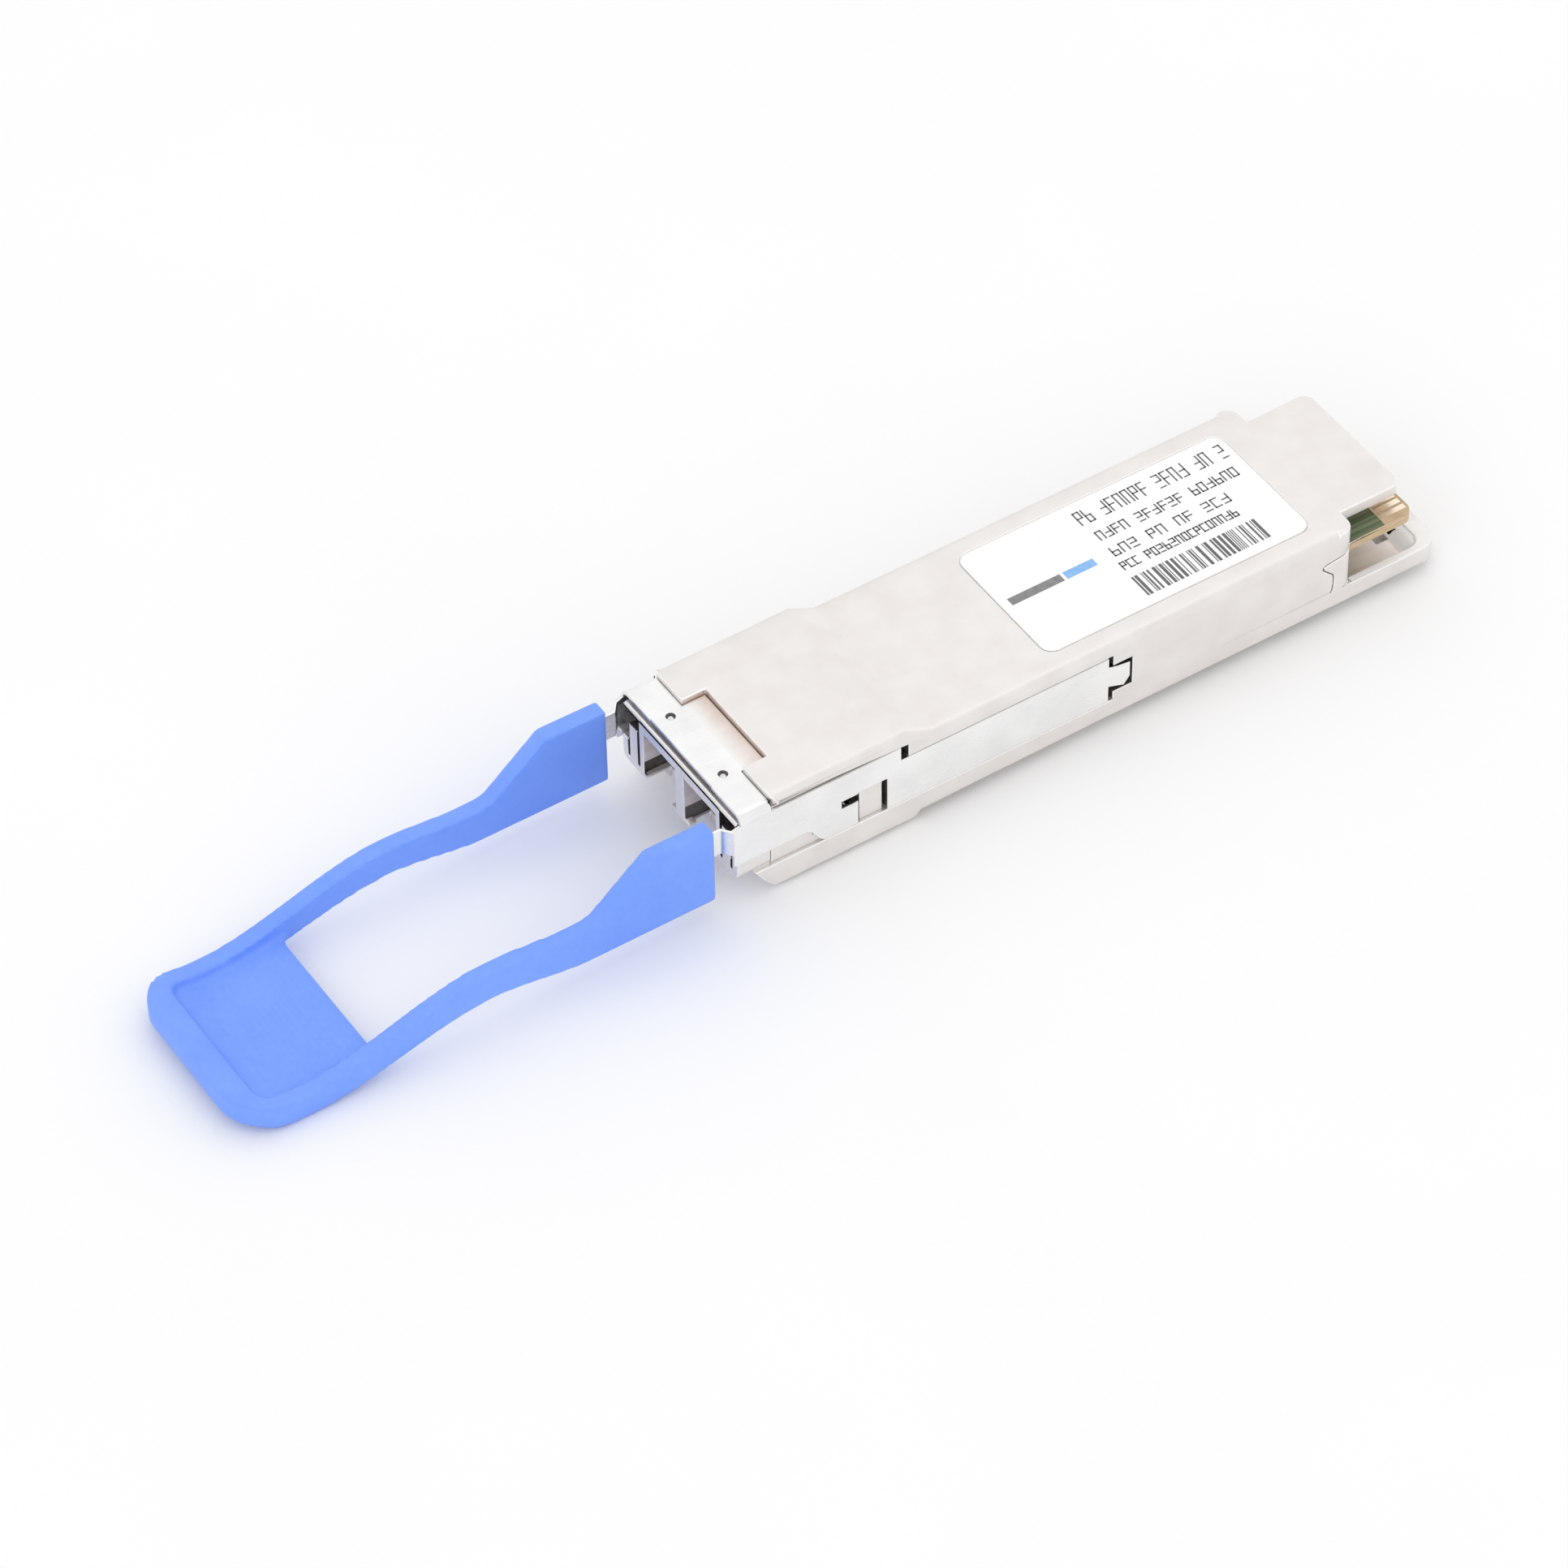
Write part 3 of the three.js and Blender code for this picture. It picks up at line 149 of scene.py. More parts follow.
def lay_floor():
    mesh = bpy.data.meshes.new("floor")
    half = FLOOR_SIZE / 2
    corners = [(-half, -half), (half, -half), (half, half), (-half, half)]
    mesh.from_pydata([(x, y, -FLOOR_DROP) for x, y in corners], [], [(0, 1, 2, 3)])
    floor = bpy.data.objects.new("floor", mesh)
    bpy.context.scene.collection.objects.link(floor)
    mesh.materials.append(floor_surface())


# ------------------------------------------------------------------ material building blocks

# Sockets of a mix node that is set to colour. Its sockets for numbers have the same names.
MIX_FACTOR = 0
FIRST_COLOUR = 6
SECOND_COLOUR = 7
MIXED_COLOUR = 2


def new_surface(name, metallic=0.0):
    """A new material with its node tree and its shader."""
    surface = bpy.data.materials.new(name)
    surface.use_nodes = True
    tree = surface.node_tree
    shader = tree.nodes["Principled BSDF"]
    shader.inputs["Metallic"].default_value = metallic
    return surface, tree, shader


def position_in_mm(tree, stretch=(1.0, 1.0, 1.0)):
    """Where the surface is, in millimetres. A small factor draws a pattern out along its axis."""
    where = tree.nodes.new("ShaderNodeTexCoord")
    scaled = tree.nodes.new("ShaderNodeMapping")
    scaled.inputs["Scale"].default_value = [PER_MM * factor for factor in stretch]
    tree.links.new(where.outputs["Object"], scaled.inputs["Vector"])
    return scaled.outputs["Vector"]


def noise(tree, vector, scale, detail=3.0):
    pattern = tree.nodes.new("ShaderNodeTexNoise")
    pattern.inputs["Scale"].default_value = scale
    pattern.inputs["Detail"].default_value = detail
    tree.links.new(vector, pattern.inputs["Vector"])
    return pattern.outputs["Fac"]


def scaled_to(tree, value, low, high, from_low=0.3, from_high=0.7):
    """Spreads a value over low to high. Noise mostly stays in the default span, from 0.3 to 0.7."""
    reach = tree.nodes.new("ShaderNodeMapRange")
    reach.inputs["From Min"].default_value = from_low
    reach.inputs["From Max"].default_value = from_high
    reach.inputs["To Min"].default_value = low
    reach.inputs["To Max"].default_value = high
    tree.links.new(value, reach.inputs["Value"])
    return reach.outputs["Result"]


def mixed_colours(tree, factor, first, second):
    mix = tree.nodes.new("ShaderNodeMix")
    mix.data_type = "RGBA"
    mix.inputs[FIRST_COLOUR].default_value = (*first, 1.0)
    mix.inputs[SECOND_COLOUR].default_value = (*second, 1.0)
    tree.links.new(factor, mix.inputs[MIX_FACTOR])
    return mix.outputs[MIXED_COLOUR]


def arithmetic(tree, operation, first, second):
    maths = tree.nodes.new("ShaderNodeMath")
    maths.operation = operation
    for socket, value in ((maths.inputs[0], first), (maths.inputs[1], second)):
        if isinstance(value, (int, float)):
            socket.default_value = value
        else:
            tree.links.new(value, socket)
    return maths.outputs["Value"]


def add_bump(tree, shader, height, depth):
    bump = tree.nodes.new("ShaderNodeBump")
    bump.inputs["Distance"].default_value = depth
    bump.inputs["Strength"].default_value = 1.0
    tree.links.new(height, bump.inputs["Height"])
    tree.links.new(bump.outputs["Normal"], shader.inputs["Normal"])


def mottled_surface(name, dark, light, metallic, roughness, scale, grain, grain_depth):
    """A surface whose colour and gloss wander between two values, over a fine grain.

    Scale and grain say how fine the clouds and the grain are, in patches per millimetre.
    """
    surface, tree, shader = new_surface(name, metallic)
    where = position_in_mm(tree)
    cloud = noise(tree, where, scale)
    shade = scaled_to(tree, cloud, 0.0, 1.0)
    tree.links.new(mixed_colours(tree, shade, dark, light), shader.inputs["Base Color"])
    tree.links.new(scaled_to(tree, cloud, roughness[0], roughness[1]), shader.inputs["Roughness"])
    add_bump(tree, shader, noise(tree, where, grain, 2.0), grain_depth)
    return surface


# ------------------------------------------------------------------ materials


def floor_surface():
    return mottled_surface(
        "floor_card", (0.955, 0.955, 0.955), (0.97, 0.97, 0.97), 0.0,
        (0.85, 0.95), 0.02, 2.0, 0.01 * MM,
    )


def die_cast_surface():
    """Satin nickel on a zinc casting: warm pale grey with a faint skin of the casting's grain."""
    return mottled_surface(
        "die_cast", (0.80, 0.765, 0.745), (0.86, 0.83, 0.81), 0.75,
        (0.40, 0.52), 0.35, 5.0, 0.012 * MM,
    )


def edge_wear_and_highlight_surface():
    """The same casting along its edges: brighter and glossier, as wear from handling and as a painted
    highlight along them.
    """
    return mottled_surface(
        "die_cast_edge", (0.88, 0.86, 0.84), (0.95, 0.94, 0.93), 0.85,
        (0.24, 0.34), 1.2, 6.0, 0.004 * MM,
    )


def die_cast_inner_surface():
    """The casting inside the tray and the ports: a little browner, with streaks along X."""
    surface, tree, shader = new_surface("die_cast_inner", 0.55)
    where = position_in_mm(tree, (0.25, 1.6, 1.0))
    streaks = noise(tree, where, 1.2, 4.0)
    shade = scaled_to(tree, streaks, 0.0, 1.0)
    colour = mixed_colours(tree, shade, (0.82, 0.73, 0.67), (0.97, 0.91, 0.87))
    tree.links.new(colour, shader.inputs["Base Color"])
    tree.links.new(scaled_to(tree, streaks, 0.38, 0.55), shader.inputs["Roughness"])
    add_bump(tree, shader, streaks, 0.02 * MM)
    return surface


def cavity_surface():
    """Near-black tone deep in slots and pockets, which stands in for the shade there."""
    return mottled_surface(
        "die_cast_cavity", (0.035, 0.030, 0.026), (0.085, 0.075, 0.066), 0.3,
        (0.55, 0.75), 0.8, 5.0, 0.02 * MM,
    )


def port_foot_surface():
    """Dark tone low down in the fibre ports, which stands in for the shade there."""
    return mottled_surface(
        "die_cast_port_foot", (0.10, 0.090, 0.078), (0.19, 0.170, 0.148), 0.3,
        (0.5, 0.7), 0.8, 5.0, 0.02 * MM,
    )


def ramp_painted_light_surface():
    """The ramp up to the tray's rim: nearly white, matt and not metallic, as painted light that keeps it
    bright in the board's shade.
    """
    return mottled_surface(
        "die_cast_ramp", (0.93, 0.91, 0.895), (0.98, 0.965, 0.955), 0.0,
        (0.70, 0.80), 0.5, 5.0, 0.01 * MM,
    )


def pocket_shade_surface():
    """The shallow pocket behind the slider's tongue: pinkish beige, a little darker than the plain casting
    as painted shade.
    """
    return mottled_surface(
        "die_cast_pocket", (0.74, 0.62, 0.55), (0.84, 0.74, 0.68), 0.6,
        (0.45, 0.6), 0.6, 5.0, 0.015 * MM,
    )


def stainless_surface(name, colour_low, colour_high, roughness):
    """Rolled sheet: fine lines along X in gloss and in relief."""
    surface, tree, shader = new_surface(name, 1.0)
    lines = noise(tree, position_in_mm(tree, (0.15, 6.0, 6.0)), 1.5, 4.0)
    cloud = noise(tree, position_in_mm(tree), 0.25)
    shade = scaled_to(tree, cloud, 0.0, 1.0)
    tree.links.new(mixed_colours(tree, shade, colour_low, colour_high), shader.inputs["Base Color"])
    tree.links.new(scaled_to(tree, lines, *roughness), shader.inputs["Roughness"])
    add_bump(tree, shader, lines, 0.002 * MM)
    return surface


def tab_surface(grooved_from, grooved_to, grooved_half_width):
    """Satin blue moulding. Fine grooves run across the finger web, between the two X positions."""
    surface, tree, shader = new_surface("tab_plastic")
    where = position_in_mm(tree)
    cloud = noise(tree, where, 0.12)
    speckle = noise(tree, where, 1.6, 4.0)
    tone = arithmetic(
        tree, "ADD", arithmetic(tree, "MULTIPLY", speckle, 0.35), arithmetic(tree, "MULTIPLY", cloud, 0.65),
    )
    shade = scaled_to(tree, tone, 0.0, 1.0)
    colour = mixed_colours(tree, shade, (0.150, 0.310, 0.965), (0.205, 0.385, 1.0))
    tree.links.new(colour, shader.inputs["Base Color"])
    tree.links.new(scaled_to(tree, speckle, 0.42, 0.55), shader.inputs["Roughness"])

    split = tree.nodes.new("ShaderNodeSeparateXYZ")
    tree.links.new(where, split.inputs["Vector"])
    x = split.outputs["X"]
    across = arithmetic(tree, "ABSOLUTE", split.outputs["Y"], 0.0)
    wave = arithmetic(tree, "SINE", arithmetic(tree, "MULTIPLY", x, 2 * math.pi / GROOVE_PITCH), 0.0)
    inside = arithmetic(
        tree, "MULTIPLY",
        arithmetic(tree, "GREATER_THAN", x, grooved_from), arithmetic(tree, "LESS_THAN", x, grooved_to),
    )
    inside = arithmetic(tree, "MULTIPLY", inside, arithmetic(tree, "LESS_THAN", across, grooved_half_width))
    grooves = arithmetic(tree, "MULTIPLY", wave, inside)
    grain = arithmetic(tree, "MULTIPLY", noise(tree, where, 6.0, 2.0), 0.5)
    add_bump(tree, shader, arithmetic(tree, "ADD", grooves, grain), 0.012 * MM)
    return surface


def label_surface():
    return mottled_surface(
        "label_film", (0.96, 0.96, 0.955), (0.985, 0.985, 0.98), 0.0,
        (0.42, 0.52), 0.3, 3.0, 0.003 * MM,
    )


def ink_surface(name, dark, light):
    return mottled_surface(name, dark, light, 0.0, (0.45, 0.6), 2.5, 8.0, 0.002 * MM)


def gold_surface():
    """Plated copper: pinkish and yellow patches, with fine wipe marks along X. Both colours are lifted
    towards white as a painted highlight.
    """
    surface, tree, shader = new_surface("gold_plate", 1.0)
    marks = noise(tree, position_in_mm(tree, (0.3, 5.0, 1.0)), 1.4, 3.0)
    shade = scaled_to(tree, marks, 0.0, 1.0)
    colour = mixed_colours(tree, shade, (0.97, 0.76, 0.58), (1.0, 0.94, 0.80))
    tree.links.new(colour, shader.inputs["Base Color"])
    tree.links.new(scaled_to(tree, marks, 0.22, 0.38), shader.inputs["Roughness"])
    add_bump(tree, shader, marks, 0.003 * MM)
    return surface


def solder_mask_surface():
    """Green mask with lighter bands along X, like straight tracks under it."""
    surface, tree, shader = new_surface("solder_mask")
    tracks = noise(tree, position_in_mm(tree, (0.05, 2.2, 0.0)), 1.0, 2.0)
    shade = scaled_to(tree, tracks, 0.0, 1.0, 0.45, 0.55)
    colour = mixed_colours(tree, shade, (0.125, 0.165, 0.09), (0.22, 0.255, 0.15))
    tree.links.new(colour, shader.inputs["Base Color"])
    tree.links.new(scaled_to(tree, tracks, 0.25, 0.4), shader.inputs["Roughness"])
    add_bump(tree, shader, shade, 0.01 * MM)
    return surface


def laminate_surface():
    """Cut edge of glass-epoxy laminate: tan, with the layers of glass cloth as fine bands."""
    surface, tree, shader = new_surface("laminate_edge")
    layers = noise(tree, position_in_mm(tree, (0.4, 0.4, 9.0)), 1.3, 3.0)
    shade = scaled_to(tree, layers, 0.0, 1.0)
    colour = mixed_colours(tree, shade, (0.50, 0.35, 0.20), (0.68, 0.52, 0.34))
    tree.links.new(colour, shader.inputs["Base Color"])
    tree.links.new(scaled_to(tree, layers, 0.55, 0.75), shader.inputs["Roughness"])
    add_bump(tree, shader, layers, 0.02 * MM)
    return surface


# ------------------------------------------------------------------ mesh building blocks


SHORTEST_EDGE = 0.012 * MM  # shorter edges of the CAD solids are merged away
OVERSHOOT = 0.02 * MM
CLOSE = 0.01 * MM  # two places nearer than this count as the same
FLAT_ANGLE = math.radians(0.5)  # faces that meet at less are one flat face
SHARP_ANGLE = math.radians(35)  # edges that bend by more are rounded
CORNER_ANGLE = math.radians(50)  # edges that bend by more are corners of the body
SHADING_ANGLE = math.radians(40)  # edges that bend by less are shaded as one smooth surface
MOSTLY = 0.9  # share of a length or of a normal that counts as lying along an axis


def sharp_edges(shape, least_angle):
    return [
        edge for edge in shape.edges
        if len(edge.link_faces) == 2 and edge.calc_face_angle(0.0) > least_angle
    ]


def clean_copy(node):
    """A bmesh of a CAD node with its flat areas merged into single faces."""
    shape = bmesh.new()
    shape.from_mesh(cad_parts[node].data)
    bmesh.ops.remove_doubles(shape, verts=shape.verts, dist=SHORTEST_EDGE)
    bmesh.ops.dissolve_limit(
        shape, angle_limit=FLAT_ANGLE, verts=shape.verts, edges=shape.edges,
    )
    for face in shape.faces:
        face.material_index = 0
    return shape


def rounded_by_remesh(node, voxel, smoothing):
    """A bmesh of a moulded CAD node, rebuilt as an even skin whose every edge is softly rounded."""
    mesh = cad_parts[node].data.copy()
    moulding = bpy.data.objects.new("moulding", mesh)
    bpy.context.scene.collection.objects.link(moulding)
    remesh = moulding.modifiers.new("skin", "REMESH")
    remesh.mode = "VOXEL"
    remesh.voxel_size = voxel
    smooth = moulding.modifiers.new("round", "SMOOTH")
    smooth.factor = 0.5
    smooth.iterations = smoothing
    view_layer = bpy.context.view_layer
    view_layer.update()
    rounded = moulding.evaluated_get(bpy.context.evaluated_depsgraph_get())
    shape = bmesh.new()
    shape.from_mesh(rounded.data)
    bpy.data.objects.remove(moulding)
    return shape


def round_edges(shape, edges, radius, segments, material_index):
    """Rounds the edges to a radius and gives the new faces a material of the piece."""
    if edges:
        bmesh.ops.bevel(
            shape, geom=edges, offset=radius, offset_type="OFFSET", segments=segments, profile=0.5,
            affect="EDGES", clamp_overlap=False, material=material_index, loop_slide=True,
        )


def finish_piece(shape, name, body, nodes, surfaces):
    """Turns a bmesh into a piece that rides on a body and stands for the given CAD nodes."""
    mesh = bpy.data.meshes.new(name)
    for face in shape.faces:
        face.smooth = True
    shape.to_mesh(mesh)
    shape.free()
    mesh.set_sharp_from_angle(angle=SHADING_ANGLE)
    for surface in surfaces:
        mesh.materials.append(surface)
    piece = bpy.data.objects.new(name, mesh)
    bpy.context.scene.collection.objects.link(piece)
    piece.modifiers.new("even_shading", "WEIGHTED_NORMAL").keep_sharp = True
    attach(piece, body)
    if nodes:
        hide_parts(*nodes)
    return piece


def keep_inside(shape, node):
    """Pulls back the few corners that rounding pushed out of the CAD node's box."""
    low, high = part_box(node)
    for vert in shape.verts:
        for axis in range(3):
            vert.co[axis] = min(max(vert.co[axis], low[axis] - OVERSHOOT), high[axis] + OVERSHOOT)


def edge_ends(edge):
    return edge.verts[0].co, edge.verts[1].co


def cut_across(shape, place, direction, from_x=-math.inf):
    """Splits the faces behind from_x along a plane, so that each side can be treated on its own."""
    faces = [face for face in shape.faces if face.calc_center_median().x > from_x]
    edges = list(dict.fromkeys(edge for face in faces for edge in face.edges))
    verts = list(dict.fromkeys(vert for face in faces for vert in face.verts))
    bmesh.ops.bisect_plane(shape, geom=verts + edges + faces, plane_co=place, plane_no=direction)


def runs_along(edge, axis):
    first, second = edge_ends(edge)
    span = second - first
    return abs(span[axis]) > MOSTLY * span.length


def body_origin():
    """Where the housing's own measurements start: its underside, 0.2 mm behind the nose, mid-width."""
    low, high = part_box("lower_shell")
    return Vector((low.x + NOSE_LEAD, (low.y + high.y) / 2, low.z + FOOT_DROP))


def paint(shape, regions, material_index, least_rise=-1.0):
    """Gives a material to the faces centred in the regions: spans of X, distance from the middle and Z.

    Only faces whose normal points up by at least the given rise are painted.
    """
    origin = body_origin()
    for face in shape.faces:
        if face.normal.z < least_rise:
            continue
        x, y, z = (face.calc_center_median() - origin) * PER_MM
        for (x_from, x_to), (inner, outer), (bottom, top) in regions:
            if x_from < x < x_to and inner <= abs(y) < outer and bottom < z < top:
                face.material_index = material_index


# ------------------------------------------------------------------ housing

NOSE_LEAD = 0.2 * MM  # how far the nose's front stands ahead of the body's origin
FOOT_DROP = 0.75 * MM  # how far the foot hangs below it
COVER_EDGE_RADIUS = 0.8 * MM
COVER_STRIP = 1.6 * MM  # width of the strip along the roof's edge that its rounding stays within
COVER_ROUND_TO = 61.3 * MM  # just in front of the rounded rear corners
CAST_EDGE_RADIUS = 0.12 * MM
FOOT_EDGE_RADIUS = 0.35 * MM
SEAM_HEIGHT = 2.0 * MM
FOOT_ZONE = 1.0 * MM  # the lower shell's bottom long edges lie no higher above its lowest point
TRAY_DEPTH = 2.2 * MM  # upward faces lower than this above it lie inside the tray
TRAY_WALL = 1.0 * MM
FLUSH_SEAM_FROM = 37.4 * MM  # behind the arms the two halves meet flush, up to the hooks
FLUSH_SEAM_TO = 60.7 * MM
UNDERCUT_TOP = 3.45 * MM  # top of the undercuts in the outer walls of the ports
RAMP_FROM = 68.8 * MM
RAMP_POCKET_SIDES = (4.7 * MM, 5.85 * MM)  # distances from the middle, just clear of the ramp's pockets

# Places in the lists of materials of the housing halves.
PLAIN, EDGE = 0, 1
COVER_CAVITY, COVER_POCKET = 2, 3
LOWER_INNER, LOWER_CAVITY, LOWER_RAMP, PORT_FOOT = 2, 3, 4, 5

# Spans in millimetres of X, distance from the middle and Z.
DARK_IN_LOWER_HALF = (
    ((-0.15, 1.5), (6.1, 8.75), (6.45, 8.02)),  # pocket below the ends of the lip
    ((-0.15, 0.75), (6.18, 6.52), (2.45, 6.45)),  # grooves in the posts
    ((-0.15, 0.75), (7.72, 8.02), (2.45, 4.5)),
    ((69.4, 70.1), (4.95, 5.55), (0.3, 1.5)),  # pockets in the ramp of the tray
)
SHADED_IN_LOWER_HALF = (
    ((-0.1, 3.2), (5.5, 6.0), (1.9, 3.45)),  # undercut in the outer wall of each port
    ((-0.1, 3.2), (0.5, 0.85), (1.9, 3.45)),  # foot of the divider's walls, by colour alone
)
INNER_IN_LOWER_HALF = (
    ((-0.15, 3.15), (0.6, 5.6), (1.9, 7.0)),  # walls of the ports
    ((0.2, 3.2), (0.0, 4.8), (7.85, 8.25)),  # trench behind the lip
)
# Painted light: the ramp's faces get a near-white tone against the board's shade.
RAMP = (
    ((68.85, 70.9), (0.0, 8.6), (1.02, 1.95)),
)
RAMP_RISE = 0.5  # the ramp's own faces slope up; the walls of its pockets don't
DARK_IN_COVER = (
    ((11.55, 11.95), (8.1, 9.15), (1.9, 5.6)),  # behind the front edge of the window
    ((14.2, 14.65), (8.1, 9.15), (1.9, 5.75)),
    ((9.9, 11.75), (8.1, 9.15), (4.6, 5.65)),  # behind the hooked slot
    ((15.9, 16.7), (8.1, 9.15), (7.0, 8.65)),  # behind the notch
    ((37.05, 37.55), (8.1, 9.15), (1.9, 7.2)),  # around the tab at the end of each arm
    ((37.05, 39.55), (8.1, 9.15), (2.95, 6.1)),
    ((7.25, 11.85), (7.0, 8.87), (2.9, 4.8)),  # pocket of the return spring
)
# Painted shade: the pocket behind the slider's tongue gets a darker pinkish beige.
TONGUE_POCKET = (
    ((3.0, 5.6), (0.0, 4.7), (8.6, 9.7)),
)


def soften_casting(shape):
    """Rounds a casting's sharp edges, except along the seam where the two halves meet without a gap."""
    origin = body_origin()
    half_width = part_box("upper_shell")[1].y - CLOSE

    def on_flush_seam(end):
        return (
            FLUSH_SEAM_FROM - CLOSE < end.x - origin.x < FLUSH_SEAM_TO
            and abs(end.z - origin.z - SEAM_HEIGHT) < CLOSE
            and abs(end.y) > half_width
        )

    edges = [
        edge for edge in sharp_edges(shape, SHARP_ANGLE)
        if not all(on_flush_seam(end) for end in edge_ends(edge))
    ]
    # The rounded edges take the edge surface, whose brighter colour is partly a painted highlight.
    round_edges(shape, edges, CAST_EDGE_RADIUS, segments=2, material_index=EDGE)


def upper_housing():
    """The cover: generously rounded along the roof, and painted dark in its pockets as shade."""
    shape = clean_copy("upper_shell")
    origin = body_origin()
    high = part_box("upper_shell")[1]
    for outward in (1, -1):
        cut_across(shape, (0, outward * (high.y - COVER_STRIP), 0), (0, 1, 0))
    cut_across(shape, (origin.x + COVER_ROUND_TO, 0, 0), (1, 0, 0))
    side = high.y - CLOSE
    roof_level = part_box("label")[0].z - CLOSE
    long_edges = [
        edge for edge in sharp_edges(shape, CORNER_ANGLE)
        if all(
            abs(end.y) > side and end.z > roof_level and end.x < origin.x + COVER_ROUND_TO + CLOSE
            for end in edge_ends(edge)
        )
    ]
    round_edges(shape, long_edges, COVER_EDGE_RADIUS, segments=4, material_index=PLAIN)
    soften_casting(shape)
    keep_inside(shape, "upper_shell")
    paint(shape, TONGUE_POCKET, COVER_POCKET)
    paint(shape, DARK_IN_COVER, COVER_CAVITY)
    return finish_piece(
        shape, "upper_housing", "housing", ["upper_shell"],
        [die_cast_surface(), edge_wear_and_highlight_surface(), cavity_surface(), pocket_shade_surface()],
    )


def lower_housing():
    """The lower half with its foot, nose frame and open tray."""
    shape = clean_copy("lower_shell")
    origin = body_origin()
    cut_across(shape, (origin.x + FLUSH_SEAM_FROM, 0, 0), (1, 0, 0))
    cut_across(shape, (0, 0, origin.z + UNDERCUT_TOP), (0, 0, 1))
    for distance in RAMP_POCKET_SIDES:
        for outward in (1, -1):
            place = (0, origin.y + outward * distance, 0)
            cut_across(shape, place, (0, 1, 0), origin.x + RAMP_FROM)
    low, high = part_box("lower_shell")
    side = high.y - CLOSE
    bottom_edges = [
        edge for edge in sharp_edges(shape, CORNER_ANGLE)
        if runs_along(edge, 0)
        and all(abs(end.y) > side and end.z < low.z + FOOT_ZONE for end in edge_ends(edge))
    ]
    round_edges(shape, bottom_edges, FOOT_EDGE_RADIUS, segments=3, material_index=PLAIN)
    soften_casting(shape)
    keep_inside(shape, "lower_shell")
    inside_level = low.z + TRAY_DEPTH
    inside_width = side - TRAY_WALL
    for face in shape.faces:
        centre = face.calc_center_median()
        if face.normal.z > MOSTLY and centre.z < inside_level and abs(centre.y) < inside_width:
            face.material_index = LOWER_INNER
    paint(shape, INNER_IN_LOWER_HALF, LOWER_INNER)
    paint(shape, DARK_IN_LOWER_HALF, LOWER_CAVITY)
    paint(shape, RAMP, LOWER_RAMP, RAMP_RISE)
    paint(shape, SHADED_IN_LOWER_HALF, PORT_FOOT)
    surfaces = [
        die_cast_surface(), edge_wear_and_highlight_surface(), die_cast_inner_surface(),
        cavity_surface(), ramp_painted_light_surface(), port_foot_surface(),
    ]
    return finish_piece(shape, "lower_housing", "housing", ["lower_shell"], surfaces)


# ------------------------------------------------------------------ latch slider and pull tab

SHEET_EDGE_RADIUS = 0.06 * MM
DIMPLE_RADIUS = 0.45 * MM
DIMPLE_DEPTH = 0.22 * MM
DIMPLE_NARROWING = 2.5  # how many times narrower the plug in a dimple is at its top
DIMPLE_SIDES = 16
DIMPLE_PLACES = ((1.65, 4.0), (1.65, -4.0))  # behind the nose and across, in millimetres
TONGUE_REFLECTION_SPAN = (3.3, 5.2)  # where the painted reflection of the pocket starts and ends on the sheet
SLIDER_TONGUE = (
    ((3.25, 6.0), (0.0, 5.0), (9.0, 9.5)),
)
DIMPLE_WALLS = (
    ((1.2, 2.1), (3.5, 4.5), (9.0, 9.33)),
)
TAB_VOXEL = 0.25 * MM
TAB_SMOOTHING = 6
GROOVE_PITCH = 0.55  # millimetres
# The grooved part of the tab's finger web, in millimetres from the tab's front and from its sides.
WEB_FROM = 4.6
WEB_TO = 13.0
WEB_MARGIN = 2.4

# Places in the slider's list of materials.
SHEET_EDGE, TONGUE, DIMPLE = 1, 2, 3


def dimple_surface():
    """Dark tone of the walls of the collar's two dimples, which stands in for the shade there."""
    return mottled_surface(
        "stainless_dimple", (0.13, 0.13, 0.125), (0.28, 0.28, 0.27), 0.6,
        (0.45, 0.6), 2.0, 8.0, 0.004 * MM,
    )


def tongue_reflection_surface():
    """The sheet's rear tongue: bright at the collar and beige at its rear end.

    The beige is a painted reflection of the pocket, put into the sheet's own colour, so it moves with the
    slider.
    """
    surface, tree, shader = new_surface("stainless_tongue", 0.75)
    where = position_in_mm(tree)
    split = tree.nodes.new("ShaderNodeSeparateXYZ")
    tree.links.new(where, split.inputs["Vector"])
    start = body_origin().x * PER_MM
    rearward = scaled_to(tree, split.outputs["X"], 0.0, 1.0, start + TONGUE_REFLECTION_SPAN[0], start + TONGUE_REFLECTION_SPAN[1])
    haze = arithmetic(tree, "MULTIPLY", noise(tree, where, 0.9), rearward)
    shade = arithmetic(tree, "ADD", arithmetic(tree, "MULTIPLY", rearward, 0.5), haze)
    colour = mixed_colours(tree, shade, (0.90, 0.89, 0.88), (0.74, 0.63, 0.57))
    tree.links.new(colour, shader.inputs["Base Color"])
    tree.links.new(scaled_to(tree, shade, 0.28, 0.45, 0.0, 1.0), shader.inputs["Roughness"])
    add_bump(tree, shader, noise(tree, where, 5.0, 2.0), 0.003 * MM)
    return surface


